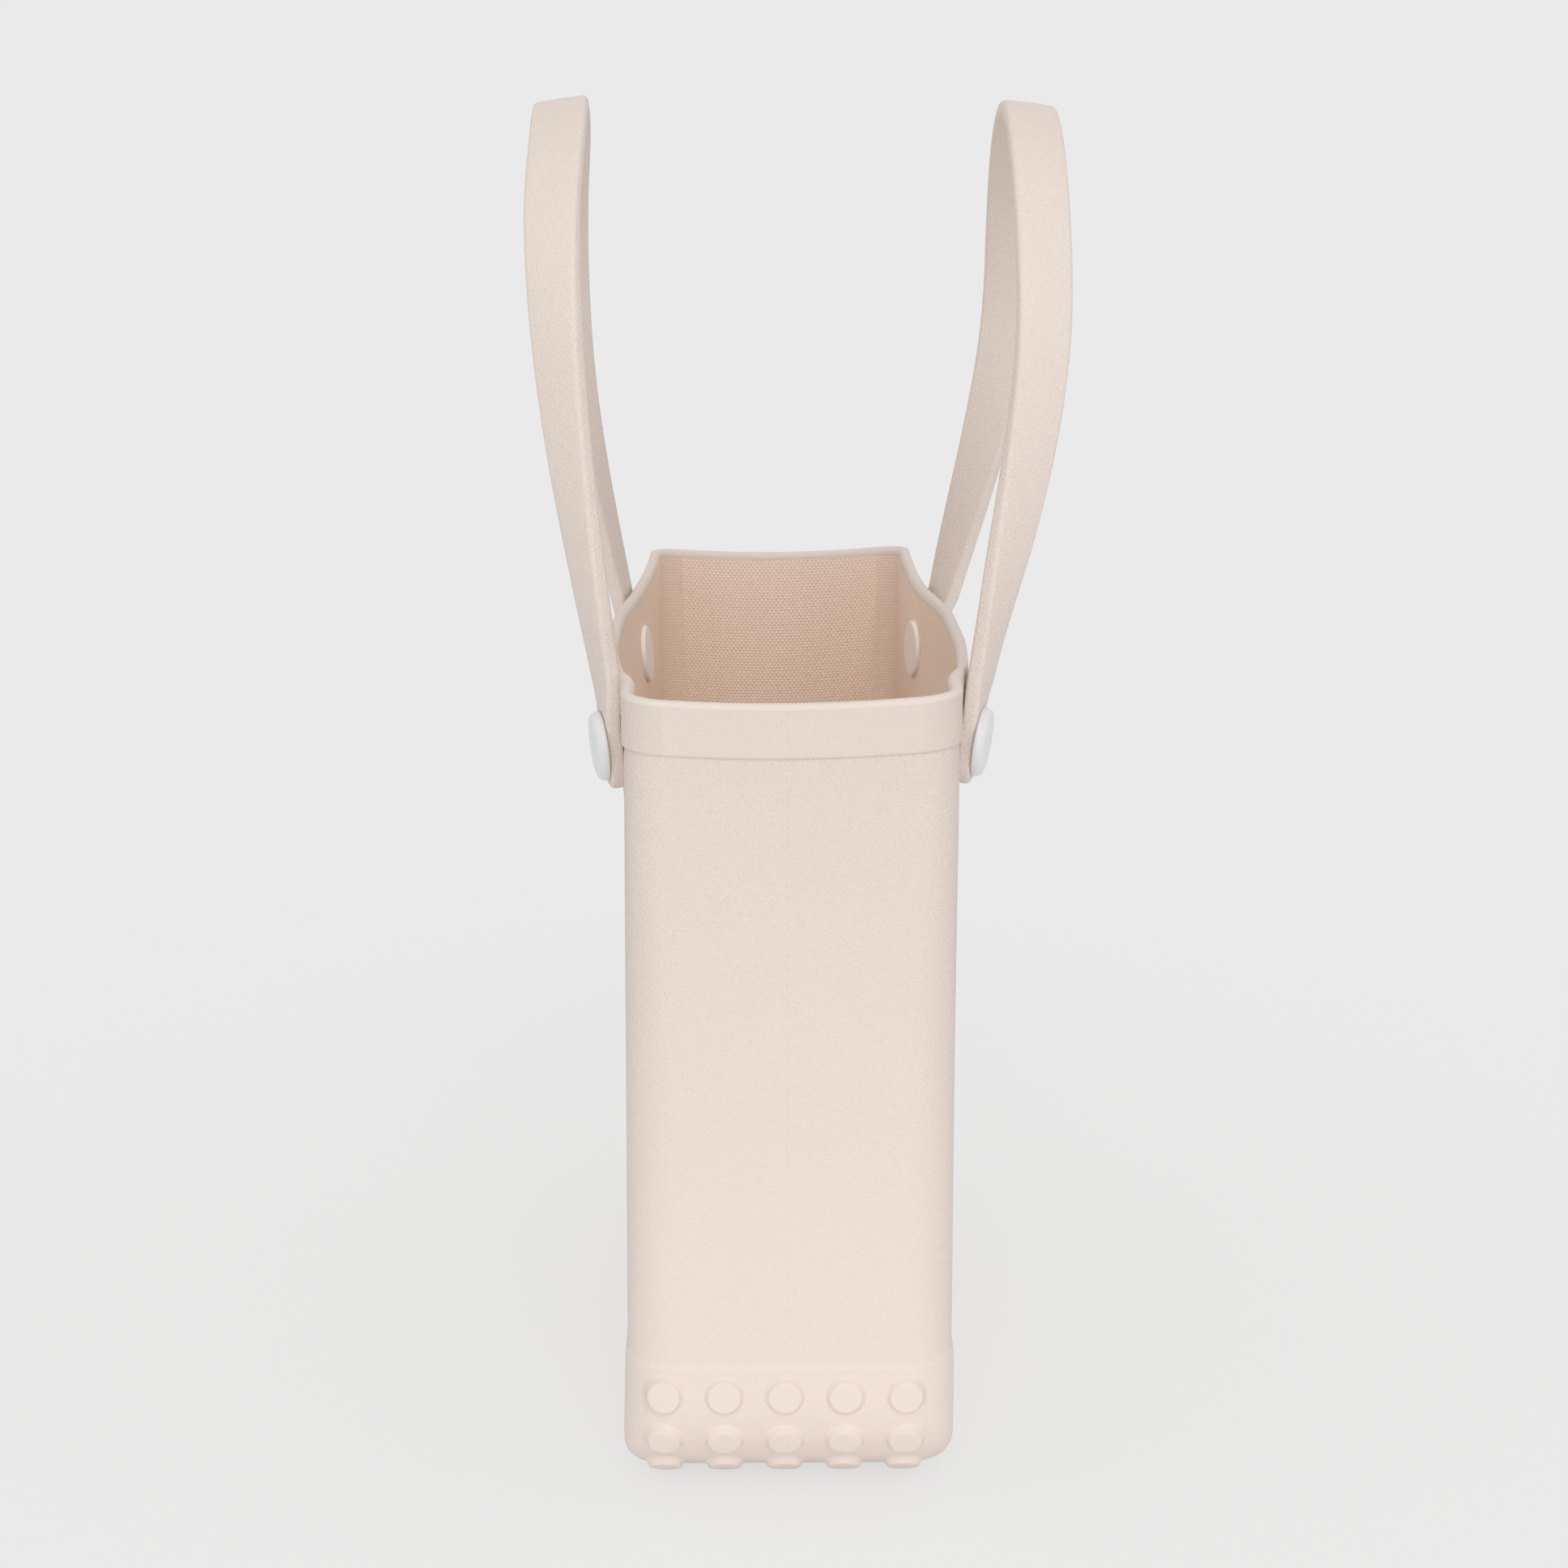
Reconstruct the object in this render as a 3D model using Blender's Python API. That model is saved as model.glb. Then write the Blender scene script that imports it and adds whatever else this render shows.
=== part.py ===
"""A moulded foam tote bag with two riveted foam straps, in metres with +Z up.

The body is one moulding: a tall box with rounded corners, a raised collar round the rim, a raised band round
the base, and round studs on the ends of that band and under it, where they are the feet. Its long walls bow
out at the mouth, where they also dip. Each strap is one flat foam band. Its two ends are clamped to a long
wall by snap rivets, each a cap with a stem and a socket inside the bag. The loop between the ends folds
about a line just above the rim, and it is modelled as a piece of its own, so that it can swing.

X runs across the bag and Y along it. The origin is on the ground, under the middle foot.
"""

import math

import bmesh
import bpy
from mathutils import Matrix, Vector

# Body
LENGTH = 0.3794
HEIGHT = 0.335
WIDTH = 0.1328
MOUTH_TAPER = 0.0038
CORNER_RADIUS = 0.020
WALL = 0.0040
END_RADIUS = 0.047
SIDE_RADIUS = 0.016
RIM_ROUND = 0.0014

# Raised collar and raised base band
COLLAR_HEIGHT = 0.0215
COLLAR_PROUD = 0.0008
BAND_ABOVE_STUDS = 0.0105
BAND_PROUD = 0.0013
BAND_SLOPE = 0.0020

# Open mouth: how far the long walls bow out and how far the rim dips
SIDE_BOW = 0.0123
BOW_START = 0.020
BOW_FULL = 0.165
BOW_DEPTH = 0.185
SIDE_DIP = 0.0080
DIP_START = 0.018
DIP_FULL = 0.107
END_DIP = 0.0033
DIP_DEPTH = 0.120

# Studs and feet
STUD_HEIGHT = 0.0025
STUD_TOP_RADIUS = 0.0066
STUD_FOOT_RADIUS = 0.0083
STUD_ROOT = 0.0022
STUD_PITCH = 0.0244
STUD_MARGIN = 0.0070
STUD_GAP = 0.003
FOOT_ROW_PITCH = 0.0271
STUD_ROW_ANGLES = (0.0, 25.6, 51.0, 74.5)

# Rivets
RIVET_FROM_END = 0.0872
RIVET_BELOW_RIM = 0.0383
CAP_RADIUS = 0.0145
CAP_FLAT_RADIUS = 0.0118
CAP_HEIGHT = 0.0042
CAP_SHOULDER = 0.0026
SOCKET_RADIUS = 0.0135
SOCKET_HEIGHT = 0.0022
SOCKET_EDGE = 0.0009
STEM_RADIUS = 0.0035
STEM_GRIP = 0.0010

# Straps
STRAP_WIDTH = 0.0228
STRAP_THICKNESS = 0.0064
STRAP_EDGE = 0.0018
STRAP_TAIL = 0.0185
TAIL_ANGLES = (20, 45, 70)
STRAP_BEND_ABOVE_RIVET = 0.0158
STRAP_RISE = 0.2217
CROWN_HEIGHT = 0.0940
CROWN_HALF_SPAN = 0.0995
CROWN_DRAWN_IN = 0.0020
TWIST_RISE = 0.152
LEAN_RISE = 0.182
LEFT_LEAN = 0.0245
RIGHT_LEAN = 0.0300
LEFT_SPLAY = 0.0042
RIGHT_SPLAY = 0.0018
FOLD_ABOVE_RIM = 0.0020
FOLD_OPEN_ANGLE = 24.0

CLEARANCE = 0.0003

# How finely the round stretches are divided
CORNER_STEPS = 4
SIDE_STEPS = 9
END_STEPS = 3
ARC_STEPS = 5
PANEL_STEPS = 7
PANEL_CROWDING = 0.7
ROUND_SIDES = 24
SHOULDER_STEPS = 3
STUD_SIDES = 8
BEND_STEPS = 3
LEG_STEPS = 10
CROWN_STEPS = 8

SIDES = {"left": -1, "right": 1}
ENDS = {"near": -1, "far": 1}
LEANS = {"left": LEFT_LEAN, "right": RIGHT_LEAN}
SPLAYS = {"left": LEFT_SPLAY, "right": RIGHT_SPLAY}

FOAM = (0.79, 0.69, 0.62)
STRAP_FOAM = (0.80, 0.70, 0.63)
WHITE = (0.86, 0.86, 0.87)


def clear_scene():
    for obj in list(bpy.data.objects):
        bpy.data.objects.remove(obj, do_unlink=True)


def finish_of(name, color, roughness):
    material = bpy.data.materials.new(name)
    material.use_nodes = True
    shader = material.node_tree.nodes["Principled BSDF"]
    shader.inputs["Base Color"].default_value = (*color, 1.0)
    shader.inputs["Roughness"].default_value = roughness
    shader.inputs["Metallic"].default_value = 0.0
    return material


def ease(t):
    """0 before t = 0 and 1 after t = 1, with a smooth step between."""
    t = min(max(t, 0.0), 1.0)
    return t * t * (3.0 - 2.0 * t)


# Shape of the moulding


def panel_half_width(z):
    return (WIDTH - MOUTH_TAPER * z / HEIGHT) / 2


def bow_at(y, z):
    """How far the open mouth carries the long wall outward."""
    from_end = LENGTH / 2 - abs(y)
    along = ease((from_end - BOW_START) / (BOW_FULL - BOW_START))
    return SIDE_BOW * along * ease((z - HEIGHT + BOW_DEPTH) / BOW_DEPTH)


def dip_at(x, y, z):
    """How far the open mouth carries a point down."""
    from_end = LENGTH / 2 - abs(y)
    side_dip = SIDE_DIP * ease((from_end - DIP_START) / (DIP_FULL - DIP_START))
    end_dip = END_DIP * max(0.0, 1.0 - (x / panel_half_width(z)) ** 2)
    return (side_dip + end_dip) * ease((z - HEIGHT + DIP_DEPTH) / DIP_DEPTH)


def mouth_shaped(x, y, z, half_width):
    out = bow_at(y, z) * x / half_width
    return Vector((x + out, y, z - dip_at(x, y, z)))


def wall_x(y, z):
    """Outer face of a long wall's panel at a place on the open bag, as a distance from the bag's middle."""
    moulded_z = z
    for _ in range(5):
        moulded_z = z + dip_at(panel_half_width(moulded_z), y, moulded_z)
    return panel_half_width(moulded_z) + bow_at(y, moulded_z)


def quarter_outline(half_width, half_length, radius):
    """(x, y, share) from a long wall's middle to an end's middle. share goes from 0 on the wall to 1 on the end."""
    points = []
    for i in range(SIDE_STEPS):
        points.append((half_width, (half_length - radius) * i / SIDE_STEPS, 0.0))
    for i in range(CORNER_STEPS):
        a = math.pi / 2 * i / CORNER_STEPS
        x = half_width - radius + radius * math.cos(a)
        points.append((x, half_length - radius + radius * math.sin(a), math.sin(a) ** 2))
    for i in range(END_STEPS + 1):
        points.append(((half_width - radius) * (1 - i / END_STEPS), half_length, 1.0))
    return points


def body_ring(end_inset, side_inset, radius, end_height, side_height):
    """One level of the body, as points all the way round. An inset is measured from the panel, inward."""
    half_width = panel_half_width(side_height) - side_inset
    quarter = quarter_outline(half_width, LENGTH / 2 - end_inset, radius)
    first = [(x, y, share) for x, y, share in quarter]
    second = [(-x, y, share) for x, y, share in reversed(quarter[:-1])]
    third = [(-x, -y, share) for x, y, share in quarter[1:]]
    fourth = [(x, -y, share) for x, y, share in reversed(quarter[1:-1])]
    ring = []
    for x, y, share in first + second + third + fourth:
        ring.append(mouth_shaped(x, y, side_height + (end_height - side_height) * share, half_width))
    return ring


def bottom_rings(inset):
    """The rounded bottom edge from the flat base up, as offset by inset from the panel."""
    end_radius = END_RADIUS - inset - BAND_PROUD
    side_radius = SIDE_RADIUS - inset - BAND_PROUD
    rings = []
    for i in range(ARC_STEPS + 1):
        a = math.pi / 2 * (1 - i / ARC_STEPS)
        end_inset = inset + end_radius * (1 - math.cos(a))
        side_inset = inset + side_radius * (1 - math.cos(a))
        end_height = STUD_HEIGHT + END_RADIUS - end_radius * math.sin(a)
        side_height = STUD_HEIGHT + SIDE_RADIUS - side_radius * math.sin(a)
        rings.append(body_ring(end_inset, side_inset, CORNER_RADIUS - inset, end_height, side_height))
    return rings


def level_ring(inset, z):
    return body_ring(inset, inset, CORNER_RADIUS - inset, z, z)


def panel_levels(low, high):
    """Heights up a panel, closer together toward the mouth, where the walls curve most."""
    shares = [(i / PANEL_STEPS) ** PANEL_CROWDING for i in range(PANEL_STEPS + 1)]
    return [low + (high - low) * share for share in shares]


def body_rings():
    """Every level of the body's skin, from under the base up the outside and down the inside to the floor."""
    band_top = STUD_HEIGHT + END_RADIUS + BAND_ABOVE_STUDS
    collar_foot = HEIGHT - COLLAR_HEIGHT
    rings = bottom_rings(-BAND_PROUD)
    rings.append(level_ring(-BAND_PROUD, band_top))
    for z in panel_levels(band_top + BAND_SLOPE, collar_foot):
        rings.append(level_ring(0.0, z))
    rings.append(level_ring(-COLLAR_PROUD, collar_foot + COLLAR_PROUD))
    rings.append(level_ring(-COLLAR_PROUD, HEIGHT - RIM_ROUND))
    rings.append(level_ring(RIM_ROUND - COLLAR_PROUD, HEIGHT))
    rings.append(level_ring(WALL - RIM_ROUND, HEIGHT))
    rings.append(level_ring(WALL, HEIGHT - RIM_ROUND))
    for z in reversed(panel_levels(band_top, collar_foot)):
        rings.append(level_ring(WALL, z))
    rings.extend(reversed(bottom_rings(WALL)))
    return rings


# Mesh helpers


def skin_into(bm, rings):
    """Joins rings of equal length into one closed skin, with a flat face over the first and the last."""
    rows = [[bm.verts.new(point) for point in ring] for ring in rings]
    for lower, upper in zip(rows[:-1], rows[1:]):
        for i in range(len(lower)):
            j = (i + 1) % len(lower)
            bm.faces.new((lower[i], lower[j], upper[j], upper[i]))
    bm.faces.new(list(reversed(rows[0])))
    bm.faces.new(rows[-1])


def object_of(name, groups, material=None, origin=Vector((0.0, 0.0, 0.0))):
    """An object whose mesh is one closed skin for each group of rings, with its origin where it is told."""
    bm = bmesh.new()
    for rings in groups:
        skin_into(bm, [[point - origin for point in ring] for ring in rings])
    bmesh.ops.recalc_face_normals(bm, faces=bm.faces)
    mesh = bpy.data.meshes.new(name)
    bm.to_mesh(mesh)
    bm.free()
    mesh.shade_smooth()
    mesh.set_sharp_from_angle(angle=math.radians(35))
    if material:
        mesh.materials.append(material)
    obj = bpy.data.objects.new(name, mesh)
    obj.location = origin
    bpy.context.scene.collection.objects.link(obj)
    return obj


def helper_of(name, groups):
    helper = object_of(name, groups)
    helper.hide_render = True
    helper.display_type = "WIRE"
    return helper


def apply_boolean(obj, operation, helper):
    modifier = obj.modifiers.new(operation.lower(), "BOOLEAN")
    modifier.operation = operation
    modifier.solver = "EXACT"
    modifier.object = helper


def circle(frame, radius, height, sides):
    """Points round the frame's own Z axis, at a height along it."""
    points = []
    for i in range(sides):
        a = 2 * math.pi * i / sides
        points.append(frame @ Vector((radius * math.cos(a), radius * math.sin(a), height)))
    return points


def turned(frame, profile, sides=ROUND_SIDES):
    return [circle(frame, radius, height, sides) for radius, height in profile]


# Studs


def frame_facing(place, normal):
    """A frame at a place whose Z axis is the normal."""
    return Matrix.Translation(place) @ normal.to_track_quat("Z", "Y").to_matrix().to_4x4()


def stud(place, normal):
    profile = ((STUD_FOOT_RADIUS, -STUD_ROOT), (STUD_FOOT_RADIUS, 0.0), (STUD_TOP_RADIUS, STUD_HEIGHT))
    return turned(frame_facing(place, normal), profile, STUD_SIDES)


def stud_columns():
    room = WIDTH / 2 + BAND_PROUD - STUD_FOOT_RADIUS - STUD_MARGIN
    count = int(room / STUD_PITCH)
    return [STUD_PITCH * i for i in range(-count, count + 1)]


def all_studs():
    """Rows round each end's rounded bottom edge, then rows of feet under the flat base."""
    arc_centre_y = LENGTH / 2 + BAND_PROUD - END_RADIUS
    arc_centre_z = STUD_HEIGHT + END_RADIUS
    last_row_y = arc_centre_y + END_RADIUS * math.cos(math.radians(STUD_ROW_ANGLES[-1]))
    foot_rows = int((last_row_y - 2 * STUD_FOOT_RADIUS - STUD_GAP) / FOOT_ROW_PITCH)
    studs = []
    for x in stud_columns():
        for end in ENDS.values():
            for angle in map(math.radians, STUD_ROW_ANGLES):
                normal = Vector((0.0, end * math.cos(angle), -math.sin(angle)))
                centre = Vector((x, end * arc_centre_y, arc_centre_z))
                studs.append(stud(centre + normal * END_RADIUS, normal))
        for row in range(-foot_rows, foot_rows + 1):
            studs.append(stud(Vector((x, row * FOOT_ROW_PITCH, STUD_HEIGHT)), Vector((0.0, 0.0, -1.0))))
    return studs


# Places that the rivets and the straps share


RIVET_Y = LENGTH / 2 - RIVET_FROM_END
RIVET_Z = HEIGHT - RIVET_BELOW_RIM
BEND_Z = RIVET_Z + STRAP_BEND_ABOVE_RIVET
STRAP_FLAT_X = wall_x(RIVET_Y, BEND_Z) + COLLAR_PROUD + CLEARANCE + STRAP_THICKNESS / 2
FOLD_Z = HEIGHT - dip_at(panel_half_width(HEIGHT), RIVET_Y, HEIGHT) + FOLD_ABOVE_RIM
CAP_SEAT = CLEARANCE + STRAP_THICKNESS + CLEARANCE
HOLE_RADIUS = STEM_RADIUS + CLEARANCE
SLOPE_STEP = 0.001


def wall_normal():
    """Direction that the right long wall faces at its far rivet, where it is toed in and leans out a little."""
    along = wall_x(RIVET_Y + SLOPE_STEP, RIVET_Z) - wall_x(RIVET_Y - SLOPE_STEP, RIVET_Z)
    upward = wall_x(RIVET_Y, RIVET_Z + SLOPE_STEP) - wall_x(RIVET_Y, RIVET_Z - SLOPE_STEP)
    return Vector((2 * SLOPE_STEP, -along, -upward)).normalized()


def rivet_frame(side, end):
    """Frame on the collar's face at a rivet. Its Z axis points out of the wall."""
    normal = wall_normal()
    out = Vector((side * normal.x, end * normal.y, normal.z))
    across = Vector((0.0, 0.0, 1.0)).cross(out).normalized()
    turn = Matrix((across, out.cross(across), out)).transposed().to_4x4()
    face = Vector((side * (wall_x(RIVET_Y, RIVET_Z) + COLLAR_PROUD), end * RIVET_Y, RIVET_Z))
    return Matrix.Translation(face) @ turn


def socket_seat():
    """Where the socket's rim first meets the inside of the wall, along the rivet's axis."""
    frame = rivet_frame(1, 1)
    depths = []
    for point in circle(frame, SOCKET_RADIUS, 0.0, ROUND_SIDES):
        depths.append((wall_x(point.y, point.z) - WALL - point.x) / frame.col[2].x)
    return min(depths) - CLEARANCE


SOCKET_SEAT = socket_seat()


# Rivets


def rivet_cap(name, frame, material):
    """A flat button with a rounded shoulder, and the stem that goes through the strap and the wall."""
    profile = []
    for i in range(SHOULDER_STEPS + 1):
        a = math.pi / 2 * i / SHOULDER_STEPS
        radius = CAP_FLAT_RADIUS + (CAP_RADIUS - CAP_FLAT_RADIUS) * math.sin(a)
        profile.append((radius, CAP_SEAT + CAP_HEIGHT - CAP_SHOULDER * (1 - math.cos(a))))
    profile += [(CAP_RADIUS, CAP_SEAT), (STEM_RADIUS, CAP_SEAT), (STEM_RADIUS, SOCKET_SEAT - STEM_GRIP)]
    return object_of(name, [turned(frame, profile)], material, frame.translation)


def rivet_socket(name, frame, material):
    """A thin disc inside the bag, with the blind bore that the stem snaps into."""
    profile = (
        (HOLE_RADIUS, SOCKET_SEAT - STEM_GRIP - CLEARANCE),
        (HOLE_RADIUS, SOCKET_SEAT),
        (SOCKET_RADIUS, SOCKET_SEAT),
        (SOCKET_RADIUS, SOCKET_SEAT - SOCKET_HEIGHT + SOCKET_EDGE),
        (SOCKET_RADIUS - SOCKET_EDGE, SOCKET_SEAT - SOCKET_HEIGHT),
    )
    return object_of(name, [turned(frame, profile)], material, frame.translation)


def rivet_drill():
    """The four holes through the walls and the strap ends, as one cutter."""
    reach = CAP_SEAT + CAP_HEIGHT
    groups = []
    for side in SIDES.values():
        for end in ENDS.values():
            frame = rivet_frame(side, end)
            groups.append(turned(frame, ((HOLE_RADIUS, SOCKET_SEAT - reach), (HOLE_RADIUS, reach))))
    return helper_of("rivet_drill", groups)


# Straps


def section(centre, across, out, half_width, half_thickness):
    """The strap's cross-section: a flat band with bevelled edges."""
    edge_w = min(STRAP_EDGE, half_width * 0.8)
    edge_t = min(STRAP_EDGE, half_thickness * 0.8)
    corners = (
        (half_width, half_thickness - edge_t),
        (half_width - edge_w, half_thickness),
        (edge_w - half_width, half_thickness),
        (-half_width, half_thickness - edge_t),
        (-half_width, edge_t - half_thickness),
        (edge_w - half_width, -half_thickness),
        (half_width - edge_w, -half_thickness),
        (half_width, edge_t - half_thickness),
    )
    return [centre + across * a + out * b for a, b in corners]


def strap_point(side_name, y, z):
    """The strap's middle line. It leans out above the bend, the far leg more than the near, then in a little."""
    lean = LEANS[side_name] * math.sin(math.pi / 2 * min((z - BEND_Z) / LEAN_RISE, 1.0))
    splay = SPLAYS[side_name] * ease((z - FOLD_Z) / LEAN_RISE) * y / CROWN_HALF_SPAN
    drawn_in = CROWN_DRAWN_IN * ease((z - BEND_Z - LEAN_RISE) / (FOLD_Z + STRAP_RISE - BEND_Z - LEAN_RISE))
    return Vector((SIDES[side_name] * (STRAP_FLAT_X + lean + splay - drawn_in), y, z))


def near_half(side_name):
    """The middle line of the loop from the near fold to the crown."""
    shoulder_z = FOLD_Z + STRAP_RISE - CROWN_HEIGHT
    points = []
    for i in range(LEG_STEPS):
        t = i / LEG_STEPS
        y = RIVET_Y + (CROWN_HALF_SPAN - RIVET_Y) * ease(t)
        points.append(strap_point(side_name, -y, FOLD_Z + (shoulder_z - FOLD_Z) * t))
    for i in range(CROWN_STEPS + 1):
        a = math.pi / 2 * i / CROWN_STEPS
        z = shoulder_z + CROWN_HEIGHT * math.sin(a)
        points.append(strap_point(side_name, -CROWN_HALF_SPAN * math.cos(a), z))
    return points


def loop_points(side_name):
    """The whole middle line. The far half is the near one mirrored, with its splay turned round."""
    near = near_half(side_name)
    far = [strap_point(side_name, -p.y, p.z) for p in reversed(near[:-1])]
    return near + far


def fold_point(side_name):
    return strap_point(side_name, 0.0, FOLD_Z)


def fold_rise(side_name):
    """Unit vector along the strap where it crosses the fold line."""
    return (strap_point(side_name, 0.0, FOLD_Z + SLOPE_STEP) - fold_point(side_name)).normalized()


def fold_axis(side_name):
    """The fold line runs along the strap's outer face, so that the loop can swing down past its clamped ends."""
    out = Vector((0.0, SIDES[side_name], 0.0)).cross(fold_rise(side_name))
    return fold_point(side_name) + out * STRAP_THICKNESS / 2


def strap_loop(side_name, material):
    """The loop between the two folds. It twists a quarter turn as it climbs, so that its crown lies flat."""
    side = SIDES[side_name]
    points = loop_points(side_name)
    rings = []
    for i, point in enumerate(points):
        if i in (0, len(points) - 1):
            along = fold_rise(side_name) * (1 if i == 0 else -1)
        else:
            along = (points[i + 1] - points[i - 1]).normalized()
        flat_out = Vector((side, 0.0, 0.0))
        flat_out = (flat_out - along * flat_out.dot(along)).normalized()
        arch_out = side * flat_out.cross(along)
        twist = math.pi / 2 * min((point.z - FOLD_Z) / TWIST_RISE, 1.0)
        out = flat_out * math.cos(twist) + arch_out * math.sin(twist)
        rings.append(section(point, along.cross(out), out, STRAP_WIDTH / 2, STRAP_THICKNESS / 2))
    for last in (0, -1):
        rings[last] = fold_cut(side_name, rings[last], math.tan(math.radians(FOLD_OPEN_ANGLE)))
    return object_of(f"strap_loop_{side_name}", [rings], material, fold_axis(side_name))


def fold_cut(side_name, ring, slope, gap=CLEARANCE / 2):
    """Moves a ring at the fold up the strap by a gap, and by more toward the inner face where it slopes."""
    axis = fold_axis(side_name)
    rise = fold_rise(side_name)
    cut = []
    for point in ring:
        inward = (axis.x - point.x) * SIDES[side_name]
        cut.append(point + rise * (gap + slope * inward))
    return cut


def strap_end(name, side_name, end, material):
    """The end clamped under a rivet: round at the foot, flat on the wall, then leaning out to the fold."""
    frame = rivet_frame(SIDES[side_name], end)
    across, upward, out = (frame.col[i].to_3d() for i in range(3))
    half = STRAP_WIDTH / 2
    middle = frame.translation + out * (CLEARANCE + STRAP_THICKNESS / 2)
    rings = []
    for a in map(math.radians, TAIL_ANGLES):
        centre = middle - upward * (STRAP_TAIL - half + half * math.cos(a))
        rings.append(section(centre, across, out, half * math.sin(a), STRAP_THICKNESS / 2))
    rings.append(section(middle + upward * (half - STRAP_TAIL), across, out, half, STRAP_THICKNESS / 2))
    bend = section(middle + upward * STRAP_BEND_ABOVE_RIVET, across, out, half, STRAP_THICKNESS / 2)
    top = fold_seat(side_name, end)
    for i in range(BEND_STEPS + 1):
        rings.append([low.lerp(high, i / BEND_STEPS) for low, high in zip(bend, top)])
    return object_of(name, [rings], material, frame.translation)


def fold_seat(side_name, end):
    """The clamped end's top, square to the strap and just short of the fold line."""
    rise = fold_rise(side_name)
    along_fold = Vector((0.0, SIDES[side_name], 0.0))
    place = fold_point(side_name)
    place.y = end * RIVET_Y
    ring = section(place, along_fold, along_fold.cross(rise), STRAP_WIDTH / 2, STRAP_THICKNESS / 2)
    return fold_cut(side_name, ring, 0.0, -CLEARANCE / 2)


def build():
    clear_scene()
    foam = finish_of("body_foam", FOAM, 0.62)
    strap_foam = finish_of("strap_foam", STRAP_FOAM, 0.60)
    white = finish_of("rivet_white", WHITE, 0.30)
    drill = rivet_drill()
    body = object_of("bag_body", [body_rings()], foam)
    apply_boolean(body, "UNION", helper_of("stud_shapes", all_studs()))
    apply_boolean(body, "DIFFERENCE", drill)
    for side_name, side in SIDES.items():
        strap_loop(side_name, strap_foam)
        for end_name, end in ENDS.items():
            place = f"{side_name}_{end_name}"
            clamped = strap_end(f"strap_end_{place}", side_name, end, strap_foam)
            apply_boolean(clamped, "DIFFERENCE", drill)
            frame = rivet_frame(side, end)
            rivet_cap(f"rivet_cap_{place}", frame, white)
            rivet_socket(f"rivet_socket_{place}", frame, white)


build()
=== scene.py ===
# %% [markdown]
# # A moulded foam tote bag
# The real bag is one large moulding of closed-cell foam, the soft stuff of a beach shoe's sole. Two flat foam
# straps are held to it by white snap rivets. Nothing on it is sewn. What makes it look real is therefore the
# moulding itself: soft roundings, the way the open mouth relaxes, and the fine texture that the mould leaves.
# The engineering model is loaded first as a fixed frame. Everything below dresses that frame.

import math

import bpy
import numpy as np
from mathutils import Matrix, Vector
from mathutils.bvhtree import BVHTree
from mathutils.interpolate import poly_3d_calc


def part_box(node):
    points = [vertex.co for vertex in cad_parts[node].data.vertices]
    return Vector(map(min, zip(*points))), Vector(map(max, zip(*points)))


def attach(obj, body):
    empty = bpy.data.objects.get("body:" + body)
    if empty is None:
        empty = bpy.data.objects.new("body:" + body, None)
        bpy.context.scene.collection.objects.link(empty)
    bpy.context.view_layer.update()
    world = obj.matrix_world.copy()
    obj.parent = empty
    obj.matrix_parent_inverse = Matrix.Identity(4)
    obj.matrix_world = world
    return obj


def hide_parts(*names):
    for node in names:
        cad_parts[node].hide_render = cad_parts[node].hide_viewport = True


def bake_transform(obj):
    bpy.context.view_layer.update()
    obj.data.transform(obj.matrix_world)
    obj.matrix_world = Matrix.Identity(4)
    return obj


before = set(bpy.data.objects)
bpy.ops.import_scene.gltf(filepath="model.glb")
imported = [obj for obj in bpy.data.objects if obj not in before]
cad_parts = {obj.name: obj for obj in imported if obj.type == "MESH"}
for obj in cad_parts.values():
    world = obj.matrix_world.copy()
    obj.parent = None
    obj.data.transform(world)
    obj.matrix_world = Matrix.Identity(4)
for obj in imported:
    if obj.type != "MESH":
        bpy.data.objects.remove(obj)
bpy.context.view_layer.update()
body_low, body_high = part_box("bag_body")

# %% [markdown]
# ## Camera
# The photograph was taken from a little above the rim, straight at one narrow end, from about 1.2 m away.
# The camera's place and turn were solved from the rim, the studs and the base of the bag. It is built from
# three plain rotations, so that each angle can be read: turn, tilt and roll.

# %% Make the camera
CAMERA_PLACE = (-0.01788, -1.20261, 0.54408)
CAMERA_TURN = math.radians(-0.839)
CAMERA_TILT_DOWN = math.radians(13.514)
CAMERA_ROLL = math.radians(0.105)
CAMERA_LENS_MM = 62.95
CAMERA_SENSOR_MM = 36.0


def add_object(name, data):
    """A new object in the scene, with that data."""
    obj = bpy.data.objects.new(name, data)
    bpy.context.scene.collection.objects.link(obj)
    return obj


camera_data = bpy.data.cameras.new("camera")
camera_data.lens = CAMERA_LENS_MM
camera_data.sensor_width = CAMERA_SENSOR_MM
camera = add_object("camera", camera_data)
camera.matrix_world = (
    Matrix.Translation(CAMERA_PLACE)
    @ Matrix.Rotation(CAMERA_TURN, 4, "Z")
    @ Matrix.Rotation(math.pi / 2 - CAMERA_TILT_DOWN, 4, "X")
    @ Matrix.Rotation(CAMERA_ROLL, 4, "Z")
)
bpy.context.scene.camera = camera
bpy.context.scene.view_settings.view_transform = "Standard"
print("camera at", CAMERA_PLACE, "lens", CAMERA_LENS_MM, "mm")

# %% [markdown]
# ## Small helpers for shader nodes
# A shader is a graph, and most of its nodes do one sum each. The first helper below makes such a node, and
# links each of its inputs to another node or sets it to a plain number. The others name the usual sums.


# %% Node helpers
def add_node(tree, kind, inputs=None, **settings):
    """A node of that kind, with its inputs linked where they are sockets and set where they are numbers."""
    node = tree.nodes.new(kind)
    for name, value in settings.items():
        setattr(node, name, value)
    for key, value in (inputs or {}).items():
        if isinstance(value, bpy.types.NodeSocket):
            tree.links.new(value, node.inputs[key])
        else:
            node.inputs[key].default_value = value
    return node


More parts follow.
